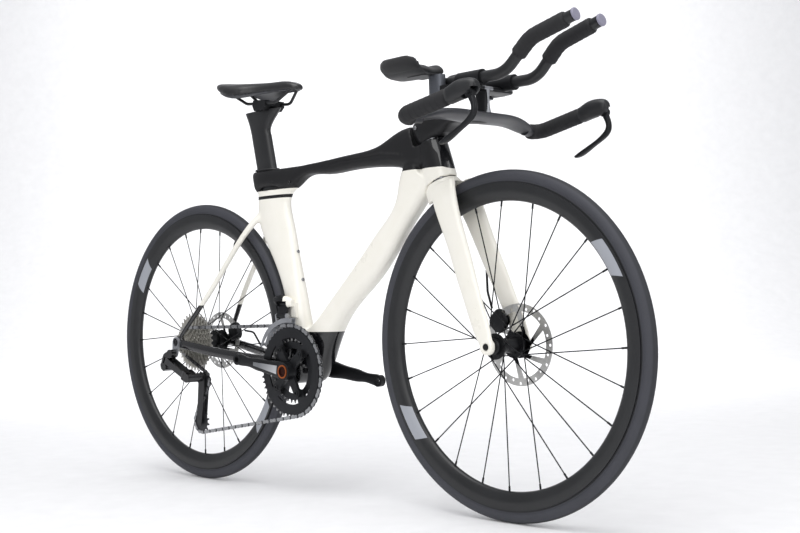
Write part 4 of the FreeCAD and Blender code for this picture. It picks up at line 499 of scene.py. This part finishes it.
def paint_frame(piece):
    sewn = bmesh.new()
    sewn.from_mesh(piece.data)
    for vert in sewn.verts:
        if abs(vert.co.y) > 0.009 and abs(vert.normal.y) > 0.5:
            vert.co.y -= crease_depth(vert.co) * (1 if vert.co.y > 0 else -1)
    up = Vector((0, 0, 1))
    for level, low_x, high_x in (
        (CLUSTER_LINE, -0.32, HEAD_FROM), (BAND_LOW, -0.32, 0.0), (BAND_HIGH, -0.32, 0.0),
        (HEAD_LINE, HEAD_FROM, NOSE_FROM), (BRACKET_LINE, STAY_BEFORE, 0.2),
        (STAY_LINE, -0.6, STAY_BEFORE),
    ):
        cut_line(sewn, Vector((0, 0, level)), up,
                 lambda spot: low_x < spot.x < high_x and abs(spot.z - level) < 0.01)
    cut_line(sewn, Vector((NOSE_FROM, 0, HEAD_LINE)), Vector((NOSE_DROP, 0, 1)),
             lambda spot: spot.x > NOSE_FROM - 0.004 and abs(spot.z - nose_line(spot.x)) < 0.01)
    for one, other in zip(GLOSS_LINE, GLOSS_LINE[1:]):
        run = other - one
        cut_line(sewn, one, Vector((-run.z, 0, run.x)),
                 lambda spot: other.z - 0.004 < spot.z < one.z + 0.004 and abs(spot.x - one.x) < 0.05)
    for face in sewn.faces:
        face.material_index = frame_colour(face.calc_center_median())
        face.smooth = True
    sewn.to_mesh(piece.data)
    sewn.free()


FRAME_PIECES = (
    "top_tube", "head_tube", "down_tube", "seat_tube", "bottom_bracket_shell", "chainstays", "seatstays")
FRAME_VOXEL = 3.0 * MM
frame_skin = moulded_skin("frame_skin", FRAME_PIECES, FRAME_VOXEL, 6)
for material in (pearl_lacquer, satin_paint, gloss_lacquer):
    frame_skin.data.materials.append(material)
paint_frame(frame_skin)
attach(frame_skin, "frame")
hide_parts(*FRAME_PIECES)

fork_skin = moulded_skin("fork_skin", ("fork",), 2.4 * MM, 6)
fork_skin.data.materials.append(pearl_lacquer)
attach(fork_skin, "steering")
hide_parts("fork")


# Padded pieces: saddle cover and arm pads
def cushion(name, node, material, body, voxel, shrink, most):
    """A stuffed form from a soft CAD solid: remeshed, blown up by cloth pressure and capped."""
    piece = new_piece(name, joined_copy(name, (node,)))
    remesh = piece.modifiers.new("even", "REMESH")
    remesh.mode = "VOXEL"
    remesh.voxel_size = voxel
    bake(piece)
    mesh = piece.data
    mesh.materials.clear()
    for vert in mesh.vertices:
        vert.co -= vert.normal * shrink
    start = [vert.co.copy() for vert in mesh.vertices]
    cloth = piece.modifiers.new("stuffing", "CLOTH")
    cloth.settings.use_pressure = True
    cloth.settings.uniform_pressure_force = 4.0
    cloth.settings.effector_weights.gravity = 0.0
    cloth.settings.tension_stiffness = 15
    cloth.settings.bending_stiffness = 0.5
    cloth.point_cache.frame_start = 1
    cloth.point_cache.frame_end = 20
    for step in range(1, 21):
        scene.frame_set(step)
    bake(piece)
    scene.frame_set(1)
    mesh = piece.data
    for vert, rest in zip(mesh.vertices, start):
        moved = vert.co - rest
        if moved.length > most:
            vert.co = rest + moved.normalized() * most
    smooth = piece.modifiers.new("even", "SMOOTH")
    smooth.factor = 0.5
    smooth.iterations = 4
    finer = piece.modifiers.new("finer", "SUBSURF")
    finer.levels = 1
    finer.render_levels = 1
    bake(piece)
    piece.data.materials.append(material)
    for face in piece.data.polygons:
        face.use_smooth = True
    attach(piece, body)
    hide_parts(node)


cushion("saddle_padding", "saddle_cover", saddle_skin, "saddle",
        voxel=4 * MM, shrink=0.8 * MM, most=1.2 * MM)
cushion("arm_pad_cushions", "arm_pads", pad_cloth, "steering",
        voxel=4 * MM, shrink=1.0 * MM, most=1.6 * MM)


# Taped grips, each wound along its bent bar by one node tree
def make_grip_tree():
    tree = bpy.data.node_groups.new("wound_grip", "GeometryNodeTree")
    tree.interface.new_socket("Run", in_out="INPUT", socket_type="NodeSocketGeometry")
    for name, kind in (("Bend", "Float"), ("Radius", "Float"), ("Turn", "Float"), ("Lap", "Float"),
                       ("Material", "Material")):
        tree.interface.new_socket(name, in_out="INPUT", socket_type="NodeSocket" + kind)
    tree.interface.new_socket("Geometry", in_out="OUTPUT", socket_type="NodeSocketGeometry")
    given = put(tree, "NodeGroupInput", {})
    line = put(tree, "GeometryNodeMeshToCurve", {0: given.outputs["Run"]})
    bent = put(tree, "GeometryNodeFilletCurve", {
        "Curve": line.outputs[0], "Radius": given.outputs["Bend"], "Count": 14}, mode="POLY")
    fine = maths(tree, "MULTIPLY", given.outputs["Turn"], 0.08)
    spaced = put(tree, "GeometryNodeResampleCurve", {
        "Curve": bent.outputs[0], "Length": fine}, mode="LENGTH")
    along = put(tree, "GeometryNodeSplineParameter", {})
    total = put(tree, "GeometryNodeSplineLength", {})
    turns = maths(tree, "DIVIDE", along.outputs["Length"], given.outputs["Turn"])
    step = maths(tree, "FRACT", turns)
    eased = maths(tree, "POWER", step, 0.35)
    raised = maths(tree, "MULTIPLY", eased, given.outputs["Lap"])
    left = maths(tree, "SUBTRACT", total.outputs["Length"], along.outputs["Length"])
    nearest = maths(tree, "MINIMUM", left, along.outputs["Length"])
    ends = put(tree, "ShaderNodeMapRange", {
        "Value": nearest, "From Max": 4 * MM, "To Min": 0.80, "To Max": 1.0})
    body = maths(tree, "ADD", given.outputs["Radius"], raised)
    sized = maths(tree, "MULTIPLY", body, ends.outputs[0])
    round_ring = put(tree, "GeometryNodeCurvePrimitiveCircle", {"Resolution": 28, "Radius": 1.0})
    tube = put(tree, "GeometryNodeCurveToMesh", {
        "Curve": spaced.outputs[0], "Profile Curve": round_ring.outputs[0], "Scale": sized,
        "Fill Caps": True})
    whole = put(tree, "GeometryNodeRealizeInstances", {"Geometry": tube.outputs[0]})
    dressed = put(tree, "GeometryNodeSetMaterial", {
        "Geometry": whole.outputs[0], "Material": given.outputs["Material"]})
    put(tree, "NodeGroupOutput", {0: dressed.outputs[0]})
    return tree


def grown(name, tree, **inputs):
    """A plain mesh grown by a node tree from its named inputs."""
    seed = inputs.pop("seed", None) or bpy.data.meshes.new(name)
    piece = bpy.data.objects.new(name, seed)
    scene.collection.objects.link(piece)
    modifier = piece.modifiers.new(name, "NODES")
    modifier.node_group = tree
    for socket in tree.interface.items_tree:
        if socket.in_out == "INPUT" and socket.name in inputs:
            modifier[socket.identifier] = inputs[socket.name]
    return bake(piece)


def merged(name, pieces):
    """Several grown pieces of one body as one object."""
    sewn = bmesh.new()
    for piece in pieces:
        sewn.from_mesh(piece.data)
    mesh = bpy.data.meshes.new(name)
    sewn.to_mesh(mesh)
    sewn.free()
    for material in pieces[0].data.materials:
        mesh.materials.append(material)
    for piece in pieces:
        bpy.data.objects.remove(piece)
    whole = bpy.data.objects.new(name, mesh)
    scene.collection.objects.link(whole)
    for face in mesh.polygons:
        face.use_smooth = True
    return whole


def rise(length, tilt, side):
    """A run of an extension: its length, its slope and how far it leans in."""
    return Vector((cos(tilt) * length, -side * 4, sin(tilt) * length)) * MM


def grip_runs():
    """The three points, bend and bar radius of each grip, as in the CAD model."""
    runs = []
    for side in (-1, 1):
        root = from_bar(-14, -12.5, side * 152)
        elbow = from_bar(-21, -15.5, side * 202)
        tip = from_bar(100, 8, side * 196)
        runs.append(([root.lerp(elbow, 0.38), elbow, elbow.lerp(tip, 0.98)], 24, 11.5))
        bend = from_bar(105, 65, side * 47)
        crest = bend + rise(83, radians(43.5), side)
        tip = crest + rise(99, radians(14.6), side)
        runs.append(([bend.lerp(crest, 0.5), crest, crest.lerp(tip, 0.845)], 60, 11.1))
    return runs


def run_mesh(name, points):
    mesh = bpy.data.meshes.new(name)
    mesh.from_pydata(points, [(0, 1), (1, 2)], [])
    return mesh


grip_tree = make_grip_tree()
grips = []
for k, (points, bend, bar_radius) in enumerate(grip_runs()):
    grips.append(grown("grip%d" % k, grip_tree, seed=run_mesh("grip%d" % k, points), **{
        "Bend": bend * MM, "Radius": (bar_radius + 3.4) * MM, "Turn": 13 * MM, "Lap": 0.8 * MM,
        "Material": grip_cloth}))
grip_tape = merged("grip_tape", grips)
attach(grip_tape, "steering")
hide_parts("bar_tape")


# Bolt heads, set on points by one node tree
def make_bolt_tree():
    tree = bpy.data.node_groups.new("socket_bolts", "GeometryNodeTree")
    tree.interface.new_socket("Points", in_out="INPUT", socket_type="NodeSocketGeometry")
    for name, kind in (("Head Height", "Float"), ("Socket Size", "Float"), ("Material", "Material")):
        tree.interface.new_socket(name, in_out="INPUT", socket_type="NodeSocket" + kind)
    tree.interface.new_socket("Geometry", in_out="OUTPUT", socket_type="NodeSocketGeometry")
    given = put(tree, "NodeGroupInput", {})
    disc = put(tree, "GeometryNodeMeshCylinder", {
        "Vertices": 18, "Radius": 1.0, "Depth": given.outputs["Head Height"]})
    edge = put(tree, "GeometryNodeExtrudeMesh", {
        "Mesh": disc.outputs["Mesh"], "Selection": disc.outputs["Top"], "Offset Scale": 0.12,
        "Individual": False})
    bevel = put(tree, "GeometryNodeScaleElements", {
        "Geometry": edge.outputs["Mesh"], "Selection": edge.outputs["Top"], "Scale": 0.86})
    face = put(tree, "GeometryNodeExtrudeMesh", {
        "Mesh": bevel.outputs[0], "Selection": edge.outputs["Top"], "Offset Scale": 0.0,
        "Individual": False})
    mouth = put(tree, "GeometryNodeScaleElements", {
        "Geometry": face.outputs["Mesh"], "Selection": face.outputs["Top"],
        "Scale": given.outputs["Socket Size"]})
    socket = put(tree, "GeometryNodeExtrudeMesh", {
        "Mesh": mouth.outputs[0], "Selection": face.outputs["Top"], "Offset Scale": -0.4,
        "Individual": False})
    way = put(tree, "GeometryNodeInputNamedAttribute", {"Name": "way"}, data_type="FLOAT_VECTOR")
    size = put(tree, "GeometryNodeInputNamedAttribute", {"Name": "size"}, data_type="FLOAT")
    turn = put(tree, "FunctionNodeAlignRotationToVector", {"Vector": way.outputs[0]}, axis="Z")
    heads = put(tree, "GeometryNodeInstanceOnPoints", {
        "Points": given.outputs["Points"], "Instance": socket.outputs["Mesh"],
        "Rotation": turn.outputs[0], "Scale": size.outputs[0]})
    whole = put(tree, "GeometryNodeRealizeInstances", {"Geometry": heads.outputs[0]})
    dressed = put(tree, "GeometryNodeSetMaterial", {
        "Geometry": whole.outputs[0], "Material": given.outputs["Material"]})
    put(tree, "NodeGroupOutput", {0: dressed.outputs[0]})
    return tree


def bolt_points(name, bolts):
    """A mesh of points that carry each bolt's way and head radius, from (place, way, radius in mm)."""
    mesh = bpy.data.meshes.new(name)
    mesh.from_pydata([place for place, _, _ in bolts], [], [])
    mesh.attributes.new("way", "FLOAT_VECTOR", "POINT")
    mesh.attributes.new("size", "FLOAT", "POINT")
    for k, (_, way, radius) in enumerate(bolts):
        mesh.attributes["way"].data[k].vector = way
        mesh.attributes["size"].data[k].value = radius * MM
    return mesh


bolt_tree = make_bolt_tree()
RIGHT = Vector((0, -1, 0))
TUBE_FRONT = Vector((0.976, 0, 0.216))


def spot_mm(x, y, z):
    return Vector((x, y, z)) * MM


def chainring_bolts():
    bolts = []
    for turn in (50, 128, 232, 310):
        a = CRANK_HEADING + radians(turn)
        place = BOTTOM_BRACKET + Vector((cos(a), 0, sin(a))) * 0.055
        bolts.append((Vector((place.x, -0.0569, place.z)), RIGHT, 5.2))
    return bolts


def make_bolts(name, body, material, bolts):
    piece = grown(name, bolt_tree, seed=bolt_points(name, bolts), **{
        "Head Height": 0.5, "Socket Size": 0.55, "Material": material})
    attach(piece, body)


make_bolts("chainring_bolts", "crank", black_anodised, chainring_bolts())
make_bolts("stem_bolt", "steering", plated_steel, [
    (spot_mm(278.6, -21.0, 775.7), RIGHT, 4.0)])
make_bolts("frame_bolts", "frame", plated_steel, [
    (spot_mm(-119.9, 0, 542.5), TUBE_FRONT, 4.0), (spot_mm(-105.7, 0, 478.5), TUBE_FRONT, 4.0),
    (spot_mm(-117.4, -30.0, 419.6), RIGHT, 4.2)])
make_bolts("cluster_screw", "frame", gloss_lacquer, [
    (spot_mm(-124.9, -18.5, 699.5), RIGHT, 3.2)])


# Studio: pale floor running up into a plain wall, soft light from above and both sides
def make_studio():
    floor_finish = finish("matte_white_board", "#EFEFF0", "#F5F5F6", 40.0, (0.7, 0.8))
    mesh = bpy.data.meshes.new("studio_floor")
    reach, wall, bend = 9.0, 7.0, 2.5
    profile = [(-reach, 0.0), (wall - bend, 0.0)]
    for k in range(1, 9):
        a = pi / 2 * k / 8
        profile.append((wall - bend + bend * sin(a), bend - bend * cos(a)))
    profile.append((wall, 9.0))
    back = Vector((-sin(CAMERA_YAW), cos(CAMERA_YAW), 0))
    side = Vector((cos(CAMERA_YAW), sin(CAMERA_YAW), 0))
    verts = [back * d + side * s * 12 + Vector((0, 0, h)) for d, h in profile for s in (-1, 1)]
    faces = [(2 * k, 2 * k + 1, 2 * k + 3, 2 * k + 2) for k in range(len(profile) - 1)]
    mesh.from_pydata(verts, [], faces)
    mesh.materials.append(floor_finish)
    for face in mesh.polygons:
        face.use_smooth = True
    floor = bpy.data.objects.new("studio_floor", mesh)
    scene.collection.objects.link(floor)


def make_light(name, place, target, size, watts):
    lamp = bpy.data.lights.new(name, "AREA")
    lamp.energy = watts
    lamp.size = size
    light = bpy.data.objects.new(name, lamp)
    light.location = place
    light.rotation_mode = "QUATERNION"
    light.rotation_quaternion = (Vector(target) - Vector(place)).to_track_quat("-Z", "Y")
    scene.collection.objects.link(light)


make_studio()
make_light("overhead", (0.6, -0.8, 3.4), (0, 0, 0.4), 3.0, 85)
make_light("right_side", (1.2, -3.4, 1.8), (0, 0, 0.5), 2.4, 36)
make_light("front_side", (3.4, 0.6, 1.8), (0, 0, 0.5), 2.0, 24)
make_light("wall_wash", (-2.5, 2.5, 3.5), (-4.2, 4.2, 1.0), 3.0, 150)
world = bpy.data.worlds.new("studio_air")
world.use_nodes = True
world.node_tree.nodes["Background"].inputs["Color"].default_value = linear("#F3F4F8")
world.node_tree.nodes["Background"].inputs["Strength"].default_value = 0.48
scene.world = world
scene.view_settings.view_transform = "Standard"


def make_camera():
    flat = cos(CAMERA_PITCH)
    ahead = Vector((-sin(CAMERA_YAW) * flat, cos(CAMERA_YAW) * flat, sin(CAMERA_PITCH)))
    level = ahead.cross(Vector((0, 0, 1))).normalized()
    upright = level.cross(ahead)
    right = level * cos(CAMERA_ROLL) + upright * sin(CAMERA_ROLL)
    up = upright * cos(CAMERA_ROLL) - level * sin(CAMERA_ROLL)
    data = bpy.data.cameras.new("photo_camera")
    data.lens = LENS_MM
    data.sensor_width = 36.0
    camera = bpy.data.objects.new("photo_camera", data)
    turn = Matrix((right, up, -ahead)).transposed().to_4x4()
    camera.matrix_world = Matrix.Translation(CAMERA_PLACE) @ turn
    scene.collection.objects.link(camera)
    scene.camera = camera


make_camera()
